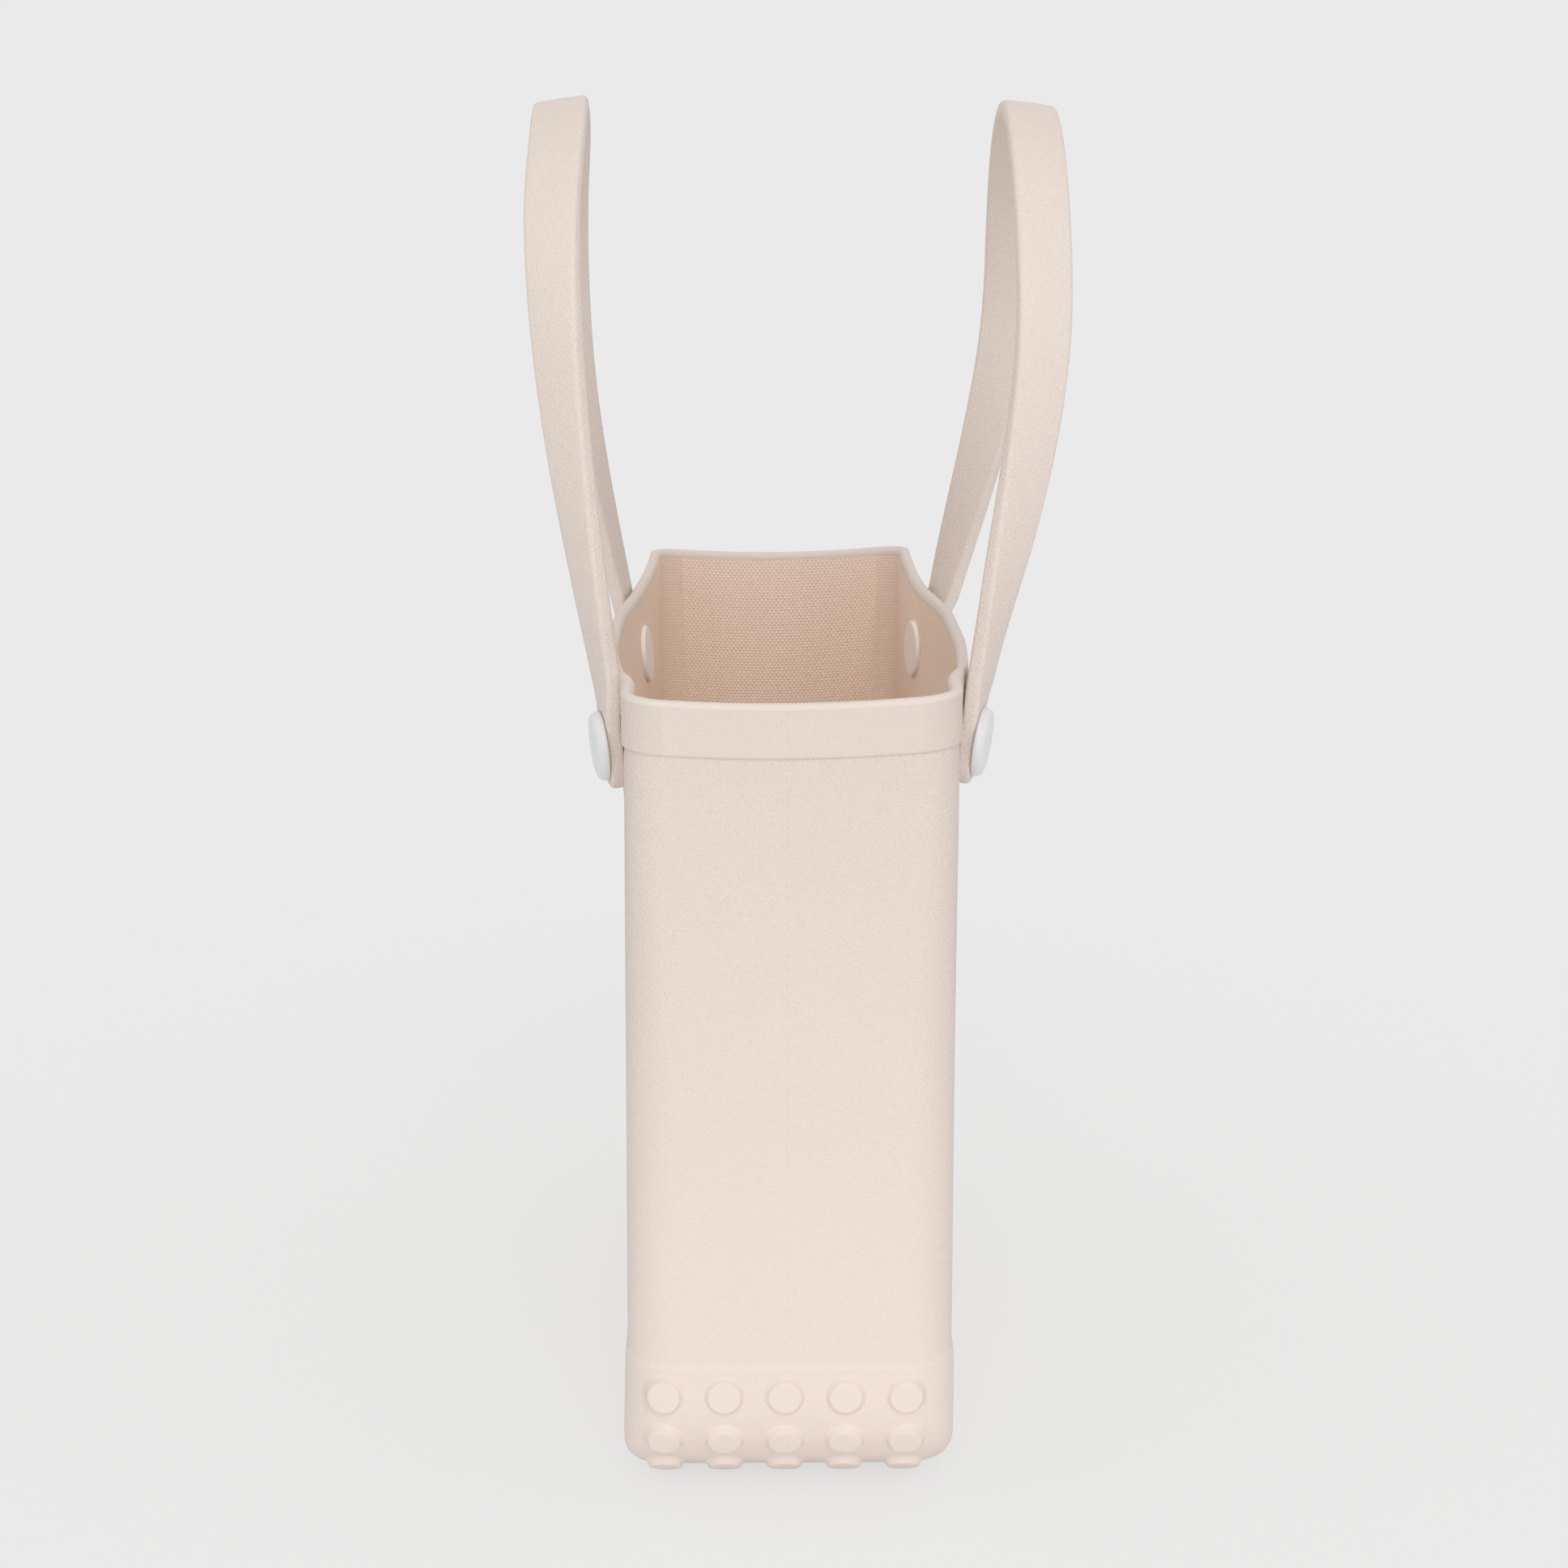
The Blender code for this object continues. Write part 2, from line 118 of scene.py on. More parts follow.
def calculate(tree, operation, *values):
    return add_node(tree, "ShaderNodeMath", dict(enumerate(values)), operation=operation).outputs[0]


def calculate_vector(tree, operation, inputs):
    return add_node(tree, "ShaderNodeVectorMath", inputs, operation=operation).outputs[0]


def fade(tree, value, over, start, stop, **settings):
    """Goes from start, where value is 0, to stop, where value reaches over."""
    inputs = {"Value": value, "From Max": over, "To Min": start, "To Max": stop}
    return add_node(tree, "ShaderNodeMapRange", inputs, **settings).outputs[0]


print("node helpers ready")

# %% [markdown]
# ## Floor, backdrop and light
# The photograph has an even pale ground. Raising the lamps until the ground turns white would burn out the
# bag, so the ground's look is kept apart from the light. Light Path tells the shader that a camera or a
# reflection is looking, and only then does the world show the backdrop's grey. The floor mixes the same grey
# with a real lit surface, so that it still keeps the bag's shadow.
# Most of the light is an even sky. Three soft boxes and a thin reflector card, which the camera doesn't see,
# open up the near end, the studs and the mouth.

# %% Backdrop and soft studio light
BACKDROP = (0.823, 0.823, 0.823, 1.0)
SKY_LIGHT = 0.70
SKY_TINT = (1.0, 0.995, 0.99, 1.0)
FLOOR_SIZE = 8.0
FLOOR_COLOUR = (0.88, 0.88, 0.88, 1.0)
SHADOW_SHARE = 0.25
SHADOW_REACH = 0.9


def seen_directly(tree):
    """1 where a camera, a reflection or a clear material looks at the surface, and 0 for plain light."""
    path = tree.nodes.new("ShaderNodeLightPath")
    looks = calculate(tree, "MAXIMUM", path.outputs["Is Camera Ray"], path.outputs["Is Glossy Ray"])
    return calculate(tree, "MAXIMUM", looks, path.outputs["Is Transmission Ray"])


def build_world():
    world = bpy.data.worlds.new("studio")
    world.use_nodes = True
    tree = world.node_tree
    tree.nodes.clear()
    light = add_node(tree, "ShaderNodeBackground", {"Color": SKY_TINT, "Strength": SKY_LIGHT})
    shown = add_node(tree, "ShaderNodeBackground", {"Color": BACKDROP})
    choice = {0: seen_directly(tree), 1: light.outputs[0], 2: shown.outputs[0]}
    both = add_node(tree, "ShaderNodeMixShader", choice)
    add_node(tree, "ShaderNodeOutputWorld", {"Surface": both.outputs[0]})
    bpy.context.scene.world = world


def floor_material():
    material = bpy.data.materials.new("pale_floor")
    material.use_nodes = True
    tree = material.node_tree
    tree.nodes.clear()
    lit = add_node(tree, "ShaderNodeBsdfDiffuse", {"Color": FLOOR_COLOUR})
    even = add_node(tree, "ShaderNodeEmission", {"Color": BACKDROP})
    place = tree.nodes.new("ShaderNodeTexCoord").outputs["Object"]
    away = add_node(tree, "ShaderNodeVectorMath", {0: place}, operation="LENGTH").outputs["Value"]
    near_share = fade(tree, away, SHADOW_REACH, SHADOW_SHARE, 0.0)
    far_share = calculate(tree, "SUBTRACT", 1.0, near_share)
    even_share = calculate(tree, "MULTIPLY", seen_directly(tree), far_share)
    lit_share = calculate(tree, "SUBTRACT", 1.0, even_share)
    mixed = add_node(tree, "ShaderNodeMixShader", {0: lit_share, 1: even.outputs[0], 2: lit.outputs[0]})
    add_node(tree, "ShaderNodeOutputMaterial", {"Surface": mixed.outputs[0]})
    return material


def build_floor():
    half = FLOOR_SIZE / 2
    mesh = bpy.data.meshes.new("floor")
    corners = [(-half, -half, 0), (half, -half, 0), (half, half, 0), (-half, half, 0)]
    mesh.from_pydata(corners, [], [(0, 1, 2, 3)])
    mesh.materials.append(floor_material())
    floor = add_object("floor", mesh)


def soft_box(name, place, width, height, watts, target):
    lamp_data = bpy.data.lights.new(name, "AREA")
    lamp_data.shape = "RECTANGLE"
    lamp_data.size = width
    lamp_data.size_y = height
    lamp_data.energy = watts
    lamp = add_object(name, lamp_data)
    lamp.location = place
    lamp.rotation_euler = (Vector(target) - Vector(place)).to_track_quat("-Z", "Y").to_euler()
    lamp.visible_camera = False


build_world()
build_floor()
soft_box("front_lamp", (0.20, -3.7, 3.17), 2.2, 2.2, 52.0, target=(0.0, 0.0, 0.25))
soft_box("low_lamp", (0.24, -3.7, 0.75), 2.4, 1.4, 5.4, target=(0.0, 0.0, 0.15))
soft_box("top_lamp", (0.05, 0.10, 2.1), 1.4, 1.4, 2.2, target=(0.0, 0.0, 0.25))
soft_box("reflector_card", (0.0, -1.05, 0.12), 1.2, 0.2, 1.0, target=(0.0, 0.0, 0.03))
print("studio: sky light", SKY_LIGHT, "with 3 soft boxes and a reflector card")

# %% [markdown]
# ## Surface effects shared by the finishes
# Four effects come back in the foam finishes, so each is a shader node group with named inputs.
# The first is the canvas pattern of the mould: rows of tiny bumps, each row shifted by half a bump. The
# product of two cosines makes exactly that lattice. The second is the sandy grain of the plain panels, which
# can fade toward the base. The third is the parting line, a hair-thin crest where the mould's halves met. The
# fourth is the foam's colour, which drifts a little at random over the moulding. It also carries painted
# light, lighter toward the base and darker toward the rim, and painted shade, darker and warmer in the
# hollows of a pattern. HEIGHT stands first, because the grain and the painted light change along it.

# %% Node groups for the foam
HEIGHT = 0.335
WANDER_SCALE = 180.0
CLOUD_SCALE = 14.0
ROUGHNESS_DRIFT = 0.12


def new_group(name, inputs, outputs):
    """A node group with a place and those inputs, and the two nodes for its sockets inside."""
    group = bpy.data.node_groups.new(name, "ShaderNodeTree")
    group.interface.new_socket("Place", in_out="INPUT", socket_type="NodeSocketVector")
    for label, value in inputs.items():
        kind = "NodeSocketFloat" if isinstance(value, float) else "NodeSocketColor"
        group.interface.new_socket(label, in_out="INPUT", socket_type=kind).default_value = value
    for label, kind in outputs.items():
        group.interface.new_socket(label, in_out="OUTPUT", socket_type="NodeSocket" + kind)
    return group, group.nodes.new("NodeGroupInput").outputs, group.nodes.new("NodeGroupOutput").inputs


def canvas_group():
    inputs = {"Bump width": 0.002, "Row height": 0.0015, "Row valley": 0.0, "Wander": 0.00015}
    group, given, out = new_group("Canvas bumps", inputs, {"Height": "Float"})
    noise = {"Vector": given["Place"], "Scale": WANDER_SCALE, "Detail": 1.0}
    wander = add_node(group, "ShaderNodeTexNoise", noise).outputs["Color"]
    centred = calculate_vector(group, "SUBTRACT", {0: wander, 1: (0.5, 0.5, 0.5)})
    shift = calculate_vector(group, "SCALE", {0: centred, "Scale": given["Wander"]})
    place = calculate_vector(group, "ADD", {0: given["Place"], 1: shift})
    axes = add_node(group, "ShaderNodeSeparateXYZ", {0: place}).outputs
    turned_x = calculate(group, "MULTIPLY", axes["X"], 2 * math.pi)
    turned_y = calculate(group, "MULTIPLY", axes["Y"], math.pi)
    across = calculate(group, "COSINE", calculate(group, "DIVIDE", turned_x, given["Bump width"]))
    up = calculate(group, "COSINE", calculate(group, "DIVIDE", turned_y, given["Row height"]))
    row_top = calculate(group, "ABSOLUTE", up)
    row_drop = calculate(group, "MULTIPLY", calculate(group, "SUBTRACT", 1.0, row_top), given["Row valley"])
    row_level = calculate(group, "SUBTRACT", 1.0, row_drop)
    lattice = calculate(group, "ADD", calculate(group, "MULTIPLY", across, up), row_level)
    group.links.new(calculate(group, "MULTIPLY", lattice, 0.5), out["Height"])
    return group


def grain_group():
    inputs = {"Grain size": 0.0008, "Share at base": 1.0}
    group, given, out = new_group("Sandy grain", inputs, {"Height": "Float"})
    scale = calculate(group, "DIVIDE", 1.0, given["Grain size"])
    noise = add_node(group, "ShaderNodeTexNoise", {"Vector": given["Place"], "Scale": scale, "Detail": 1.0})
    z = add_node(group, "ShaderNodeSeparateXYZ", {0: given["Place"]}).outputs["Z"]
    share = fade(group, z, HEIGHT, given["Share at base"], 1.0)
    group.links.new(calculate(group, "MULTIPLY", noise.outputs[0], share), out["Height"])
    return group


def parting_line_group():
    inputs = {"Line at": 0.0, "Line width": 0.0006}
    group, given, out = new_group("Parting line", inputs, {"Height": "Float"})
    x = add_node(group, "ShaderNodeSeparateXYZ", {0: given["Place"]}).outputs["X"]
    away = calculate(group, "ABSOLUTE", calculate(group, "SUBTRACT", x, given["Line at"]))
    share = calculate(group, "DIVIDE", away, given["Line width"])
    crest = fade(group, share, 1.0, 1.0, 0.0, interpolation_type="SMOOTHSTEP")
    group.links.new(crest, out["Height"])
    return group


# The foam's colour: a random drift, painted light that is lighter toward the base, and painted shade in
# hollows.
def tone_group():
    inputs = {
        "Colour": (0.8, 0.7, 0.6, 1.0), "Hollow colour": (0.7, 0.55, 0.45, 1.0), "Relief": 1.0,
        "Hollow depth": 0.3, "Drift": 0.03, "Paler low": 0.0, "Polish": 0.6,
    }
    group, given, out = new_group("Foam tone and painted light", inputs, {"Colour": "Color", "Roughness": "Float"})
    noise = {"Vector": given["Place"], "Scale": CLOUD_SCALE, "Detail": 3.0}
    cloud = add_node(group, "ShaderNodeTexNoise", noise).outputs[0]
    centred = calculate(group, "SUBTRACT", cloud, 0.5)
    z = add_node(group, "ShaderNodeSeparateXYZ", {0: given["Place"]}).outputs["Z"]
    # Painted light: the colour is made lighter toward the base and darker toward the rim.
    low = fade(group, z, HEIGHT, 0.5, -0.5)
    painted_light = calculate(group, "MULTIPLY_ADD", low, given["Paler low"], 1.0)
    brighter = calculate(group, "MULTIPLY_ADD", centred, given["Drift"], painted_light)
    # Painted shade: where the relief is low, the colour mixes toward a darker, warmer hollow colour.
    below = calculate(group, "SUBTRACT", 1.0, given["Relief"])
    painted_shade = calculate(group, "MULTIPLY", below, given["Hollow depth"])
    colours = {0: painted_shade, 6: given["Colour"], 7: given["Hollow colour"]}
    mixed = add_node(group, "ShaderNodeMix", colours, data_type="RGBA")
    toned = calculate_vector(group, "SCALE", {0: mixed.outputs[2], "Scale": brighter})
    group.links.new(toned, out["Colour"])
    roughness = calculate(group, "MULTIPLY_ADD", centred, ROUGHNESS_DRIFT, given["Polish"])
    group.links.new(roughness, out["Roughness"])
    return group


CANVAS = canvas_group()
GRAIN = grain_group()
PARTING_LINE = parting_line_group()
TONE = tone_group()
print("node groups:", [group.name for group in (CANVAS, GRAIN, PARTING_LINE, TONE)])

# %% [markdown]
# ## Finishes
# One foam makes the whole bag, and its surface changes from place to place: canvas bumps on the collar, on
# the base and inside, sandy grain on the panels and straps, and a smoother skin on the rim and the studs.
# Each is its own material, so that a moulded edge can separate them. They share the groups above.

# %% Foam and rivet materials
FOAM = (0.780, 0.681, 0.619, 1.0)
# Painted shade: the next colour is laid darker and warmer into the hollows of the outer canvas bumps.
FOAM_PAINTED_SHADE = (0.70, 0.560, 0.475, 1.0)
CANVAS_FOAM = (0.815, 0.712, 0.650, 1.0)
STRAP_FOAM = (0.795, 0.695, 0.630, 1.0)
# Painted bounce light: the inside is coloured lighter, warmer and more saturated than the outside, in place
# of the light its walls throw on each other.
INNER_FOAM_WITH_PAINTED_BOUNCE = (0.980, 0.835, 0.720, 1.0)
# Painted shade: the hollows of the inside's bumps are laid darker and warmer still.
INNER_PAINTED_SHADE = (0.920, 0.690, 0.530, 1.0)
CAP_WHITE = (0.78, 0.78, 0.80, 1.0)
# Painted bounce light: the sockets' white is warmer and lighter than the caps', for the peach light inside
# the bag.
SOCKET_WHITE_WITH_PAINTED_BOUNCE = (0.93, 0.87, 0.84, 1.0)
WALL_MAP = "wall_map"
FOAM_IOR = 1.42
# Painted light: this share makes the outside lighter toward the base, in place of light from low in front.
PAINTED_LIGHT_AT_BASE = 0.13
PANEL_GRAIN_AT_BASE = 0.45
PARTING_LINE_X = -0.0014
PARTING_LINE_HEIGHT = 0.00008
RIVET_GRAIN_SIZE = 0.0006
RIVET_GRAIN_HEIGHT = 0.00001
RIVET_DRIFT = 0.01
RIVET_POLISH = 0.34


def use_group(tree, group, **inputs):
    named = {name.replace("_", " "): value for name, value in inputs.items()}
    return add_node(tree, "ShaderNodeGroup", named, node_tree=group).outputs


def raise_surface(tree, height, distance, normal=None):
    bump = add_node(tree, "ShaderNodeBump", {"Height": height, "Distance": distance})
    if normal:
        tree.links.new(normal, bump.inputs["Normal"])
    return bump.outputs[0]


def new_finish(name):
    """A material, its node tree, and the place by which its patterns are laid."""
    material = bpy.data.materials.new(name)
    material.use_nodes = True
    tree = material.node_tree
    return material, tree, tree.nodes.new("ShaderNodeTexCoord").outputs["Object"]


def dress(tree, tone, normal):
    """Feeds the tone and the raised surface to the shader."""
    shader = tree.nodes["Principled BSDF"]
    tree.links.new(tone["Colour"], shader.inputs["Base Color"])
    tree.links.new(tone["Roughness"], shader.inputs["Roughness"])
    tree.links.new(normal, shader.inputs["Normal"])


def foam_material(name, colour, polish, grain, canvas=None, painted_shade=FOAM_PAINTED_SHADE, flat=False, outside=True):
    """grain is (size, height), canvas is (bump width, row height, row valley, height, painted shade depth).
    """
    material, tree, place = new_finish(name)
    tree.nodes["Principled BSDF"].inputs["IOR"].default_value = FOAM_IOR
    normal = None
    relief = 1.0
    painted_shade_depth = 0.0
    if canvas:
        bump_width, row_height, row_valley, height, painted_shade_depth = canvas
        on_wall = place if flat else add_node(tree, "ShaderNodeUVMap", uv_map=WALL_MAP).outputs[0]
        relief = use_group(tree, CANVAS, Place=on_wall, Bump_width=bump_width, Row_height=row_height,
                           Row_valley=row_valley)["Height"]
        normal = raise_surface(tree, relief, height)
    grain_size, grain_height = grain
    base_share = PANEL_GRAIN_AT_BASE if outside else 1.0
    grains = use_group(tree, GRAIN, Place=place, Grain_size=grain_size, Share_at_base=base_share)["Height"]
    normal = raise_surface(tree, grains, grain_height, normal)
    if outside:
        line = use_group(tree, PARTING_LINE, Place=place, Line_at=PARTING_LINE_X)["Height"]
        normal = raise_surface(tree, line, PARTING_LINE_HEIGHT, normal)
    # The tone adds painted shade in the canvas hollows and, on the outside, painted light toward the base.
    tone = use_group(tree, TONE, Place=place, Colour=colour, Hollow_colour=painted_shade, Relief=relief,
                     Hollow_depth=painted_shade_depth, Paler_low=PAINTED_LIGHT_AT_BASE if outside else 0.0, Polish=polish)
    dress(tree, tone, normal)
    return material


def rivet_material(name, colour):
    material, tree, place = new_finish(name)
    grains = use_group(tree, GRAIN, Place=place, Grain_size=RIVET_GRAIN_SIZE)["Height"]
    tone = use_group(tree, TONE, Place=place, Colour=colour, Hollow_colour=colour, Drift=RIVET_DRIFT,
                     Polish=RIVET_POLISH)
    dress(tree, tone, raise_surface(tree, grains, RIVET_GRAIN_HEIGHT))
    return material


SOFT_GRAIN = (0.0008, 0.00006)
# The last number of a canvas is how deep its painted shade in the hollows goes.
OUTER_CANVAS = (0.0016, 0.00067, 0.0, 0.00018, 0.20)
COLLAR_CANVAS = (0.0016, 0.00067, 0.0, 0.00026, 0.14)
INNER_CANVAS = (0.00192, 0.00150, 0.8, 0.00032, 0.50)
FINISHES = {
    "panel": foam_material("foam_sandy_panel", FOAM, 0.62, (0.0008, 0.00062)),
    "canvas": foam_material("foam_canvas_base", CANVAS_FOAM, 0.62, SOFT_GRAIN, OUTER_CANVAS),
    "collar": foam_material("foam_canvas_collar", CANVAS_FOAM, 0.62, SOFT_GRAIN, COLLAR_CANVAS),
    "rim": foam_material("foam_smooth_rim", CANVAS_FOAM, 0.55, (0.0010, 0.00006)),
    "stud": foam_material("foam_smooth_stud", FOAM, 0.52, (0.0012, 0.00005)),
    "inside": foam_material("foam_canvas_inside", INNER_FOAM_WITH_PAINTED_BOUNCE, 0.66, (0.0008, 0.00005), INNER_CANVAS,
                            painted_shade=INNER_PAINTED_SHADE, outside=False),
    "underside": foam_material("foam_canvas_flat", CANVAS_FOAM, 0.62, SOFT_GRAIN, OUTER_CANVAS, flat=True),
}
STRAP_FINISH = foam_material("foam_sandy_strap", STRAP_FOAM, 0.60, (0.0008, 0.00052), outside=False)
CAP_FINISH = rivet_material("white_cap_plastic", CAP_WHITE)
SOCKET_FINISH = rivet_material("socket_plastic_painted_bounce", SOCKET_WHITE_WITH_PAINTED_BOUNCE)
print("finishes:", sorted(FINISHES), "and strap, cap and socket")

# %% [markdown]
# ## The moulding's sizes
# Sizes are in metres and within a few millimetres of the engineering model's, because the dressed bag has to
# lie where its solid lies. The body's length comes from that solid's box.

# %% Sizes of the body
BAND_PROUD = 0.0013
STUD_HEIGHT = 0.0025
LENGTH = (body_high.y - body_low.y) - 2 * (BAND_PROUD + STUD_HEIGHT)
BASE_HALF_WIDTH = 0.0664
MOUTH_TAPER = 0.0019
CORNER_RADIUS = 0.022
RIM_CORNER_RADIUS = 0.015
WALL = 0.0040
END_RADIUS = 0.043
SIDE_RADIUS = 0.020
BASE_SHIFT = -0.0020
BASE_SHIFT_FADES = 0.0325
BASE_SHIFT_POWER = 1.5
COLLAR_HEIGHT = 0.0215
COLLAR_PROUD = 0.0010
COLLAR_GROOVE = 0.0004
BAND_TOP = 0.0588
BAND_LEDGE = 0.0008
BAND_SLOPE = 0.0022
print("body length in mm:", round(1000 * LENGTH, 1))

# %% [markdown]
# ## The relaxed mouth
# The mould is a straight box, but foam this soft doesn't stay straight. The long walls bow out toward the
# middle of the mouth, the rim dips between the corners, and each strap pulls its own patch of wall askew. A
# sculptor would push these in by hand. Here each is one smooth formula that moves any point of the wall, so
# that the outside, the inside and the rivets all move alike.

# %% How the mouth is shaped
CORNERS_TIGHTEN_FROM = 0.15
BOW_OUT = 0.0123
BOW_STARTS = 0.020
BOW_GROWS_OVER = 0.145
BOW_DEPTH = 0.135
SIDE_DIP = 0.0080
SIDE_DIP_STARTS = 0.018
SIDE_DIP_GROWS_OVER = 0.089
END_DIP = 0.0033
RIM_TILT = 0.0008
DIP_DEPTH = 0.120


def ease(t):
    """0 before t = 0 and 1 after t = 1, with a smooth step between."""
    t = np.clip(t, 0.0, 1.0)
    return t * t * (3.0 - 2.0 * t)


def panel_half_width(z):
    return BASE_HALF_WIDTH - MOUTH_TAPER * z / HEIGHT


def corner_radius(z):
    """The plan's corners are tighter at the rim than at the base."""
    share = float(ease((z - CORNERS_TIGHTEN_FROM) / (HEIGHT - CORNERS_TIGHTEN_FROM)))
    return CORNER_RADIUS + (RIM_CORNER_RADIUS - CORNER_RADIUS) * share


def bow(y, z):
    from_end = LENGTH / 2 - np.abs(y)
    along = ease((from_end - BOW_STARTS) / BOW_GROWS_OVER)
    return BOW_OUT * along * ease((z - HEIGHT + BOW_DEPTH) / BOW_DEPTH)


def dip(x, y, z):
    from_end = LENGTH / 2 - np.abs(y)
    side_dip = SIDE_DIP * ease((from_end - SIDE_DIP_STARTS) / SIDE_DIP_GROWS_OVER)
    end_dip = END_DIP * np.maximum(0.0, 1.0 - (x / panel_half_width(z)) ** 2)
    rim_tilt = RIM_TILT * x / panel_half_width(z)
    return (side_dip + end_dip - rim_tilt) * ease((z - HEIGHT + DIP_DEPTH) / DIP_DEPTH)


# %% [markdown]
# ## Where the rivets pull
# A rivet clamps the strap to the wall, and the strap's weight and spring turn that patch of wall. In the
# photograph each rivet sits a little differently. So each has its own toe (how far its face is turned toward
# the nearer end), its own lean (how far its top stands out), and a small shift from its place on the mould.

# %% Rivet places and the pull on the wall
RIVET_FROM_END = 0.0872
RIVET_BELOW_RIM = 0.0383
RIVET_Y = LENGTH / 2 - RIVET_FROM_END
RIVET_Z = HEIGHT - RIVET_BELOW_RIM
PULL_REACH = 0.019
SHIFT_REACH = 2 * PULL_REACH
BELOW_RIVET_FADES = 1.35
PULL_WHOLE_AT_X = 0.060
RIVETS = {
    ("left", "near"): {"toe": 11.6, "lean": 6.0, "out": -0.0013, "up": 0.0004},
    ("left", "far"): {"toe": 5.2, "lean": 5.5, "out": 0.0003, "up": -0.0018},
    ("right", "near"): {"toe": 13.4, "lean": 7.7, "out": 0.0009, "up": 0.0022},
    ("right", "far"): {"toe": 9.4, "lean": 1.4, "out": -0.0016, "up": 0.0010},
}
SIDES = {"left": -1, "right": 1}
ENDS = {"near": -1, "far": 1}
SLOPE_STEP = 0.001
DIP_ROUNDS = 5


def plain_wall_x(y, z):
    """The collar's outer face on a long wall before the rivets pull it, as its distance from the middle."""
    moulded_z = z
    for _ in range(DIP_ROUNDS):
        moulded_z = z + dip(panel_half_width(moulded_z), y, moulded_z)
    return panel_half_width(moulded_z) + bow(y, moulded_z) + COLLAR_PROUD


def wall_slope(step_y, step_z):
    """How fast the plain wall comes out in that direction at a rivet."""
    ahead, behind = (plain_wall_x(RIVET_Y + s * step_y, RIVET_Z + s * step_z) for s in (1, -1))
    return (ahead - behind) / (2 * SLOPE_STEP)


def pull(x, y, z):
    """How far the rivets carry a point of a long wall outward."""
    moved = np.zeros_like(y)
    toe_in_mould = wall_slope(-SLOPE_STEP, 0.0)
    lean_in_mould = wall_slope(0.0, SLOPE_STEP)
    for (side, end), rivet in RIVETS.items():
        inward = RIVET_Y - y * ENDS[end]
        upward = z - RIVET_Z - rivet["up"]
        toe = math.tan(math.radians(rivet["toe"])) - toe_in_mould
        lean = math.tan(math.radians(rivet["lean"])) - lean_in_mould
        reach_up = np.where(upward < 0.0, BELOW_RIVET_FADES * upward, upward)
        near = np.exp(-(inward**2 + reach_up**2) / (2 * PULL_REACH**2))
        broad = np.exp(-(inward**2 + upward**2) / (2 * SHIFT_REACH**2))
        on_wall = ease(np.abs(x) / PULL_WHOLE_AT_X) * (x * SIDES[side] > 0)
        moved += on_wall * ((toe * inward + lean * upward) * near + rivet["out"] * broad)
    return moved * np.sign(x)


def shaped(x, y, z, half_width):
    """Carries points of the straight moulding to where they are on the relaxed bag."""
    out = bow(y, z) * x / half_width
    low = z - dip(x, y, z)
    base_shift = BASE_SHIFT * np.clip(1.0 - z / BASE_SHIFT_FADES, 0.0, 1.0) ** BASE_SHIFT_POWER
    return np.stack([x + out + pull(x, y, low) + base_shift, y, low], axis=-1)


def rivet_frame(side, end):
    """A frame on the collar at a rivet: X along the bag, Y up the wall and Z out of it."""
    rivet = RIVETS[side, end]
    toe, lean = math.radians(rivet["toe"]), math.radians(rivet["lean"])
    out = Vector((SIDES[side] * math.cos(toe), ENDS[end] * math.sin(toe), -math.tan(lean))).normalized()
    along = Vector((0.0, 0.0, 1.0)).cross(out).normalized()
    turn = Matrix((along, out.cross(along), out)).transposed().to_4x4()
    x = SIDES[side] * (plain_wall_x(RIVET_Y, RIVET_Z) + rivet["out"])
    return Matrix.Translation((x, ENDS[end] * RIVET_Y, RIVET_Z + rivet["up"])) @ turn


for place in RIVETS:
    print("rivet", place, "at mm", [round(1000 * v, 1) for v in rivet_frame(*place).translation])

# %% [markdown]
# ## The body's skin
# The body is a loft: one closed outline for each level, from under the base, up the outside, over the rim and
# down the inside to the floor. The levels follow a short list of profile corners, each with its own rounding,
# because the roundings catch the light and tell the eye how thick and how soft the foam is. CANVAS_REPEAT is
# the width of six bumps of the outer canvas and of five of the inner one.

# %% One level of the skin
WALL_STEPS = 44
CORNER_STEPS = 16
END_STEPS = 16
CANVAS_REPEAT = 0.0096


def level_outline(half_width, half_length, radius):
    """x, y and share all the way round. share is 0 on a long wall, 1 on an end and between on a corner."""
    wall = np.linspace(0.0, half_length - radius, WALL_STEPS, endpoint=False)
    turn = np.linspace(0.0, math.pi / 2, CORNER_STEPS, endpoint=False)
    end = np.linspace(half_width - radius, 0.0, END_STEPS + 1)
    x = np.concatenate([np.full_like(wall, half_width), half_width - radius + radius * np.cos(turn), end])
    y = np.concatenate([wall, half_length - radius + radius * np.sin(turn), np.full_like(end, half_length)])
    share = np.concatenate([np.zeros_like(wall), np.sin(turn) ** 2, np.ones_like(end)])
    x = np.concatenate([x, -x[-2::-1], -x[1:], x[-2:0:-1]])
    y = np.concatenate([y, y[-2::-1], -y[1:], -y[-2:0:-1]])
    share = np.concatenate([share, share[-2::-1], share[1:], share[-2:0:-1]])
    return x, y, share


def level_points(end_inset, side_inset, end_height, side_height):
    """Points round one level. An inset is measured inward from the panel's face."""
    half_width = panel_half_width(side_height) - side_inset
    x, y, share = level_outline(half_width, LENGTH / 2 - end_inset, corner_radius(side_height) - side_inset)
    return shaped(x, y, side_height + (end_height - side_height) * share, half_width)


def around_map():
    """Distance round the outline, stretched a hair so that both canvas patterns meet themselves."""
    x, y, _ = level_outline(BASE_HALF_WIDTH, LENGTH / 2, CORNER_RADIUS)
    steps = np.hypot(np.diff(x, append=x[0]), np.diff(y, append=y[0]))
    total = steps.sum()
    whole = CANVAS_REPEAT * round(total / CANVAS_REPEAT)
    return np.concatenate([[0.0], np.cumsum(steps)]) * whole / total


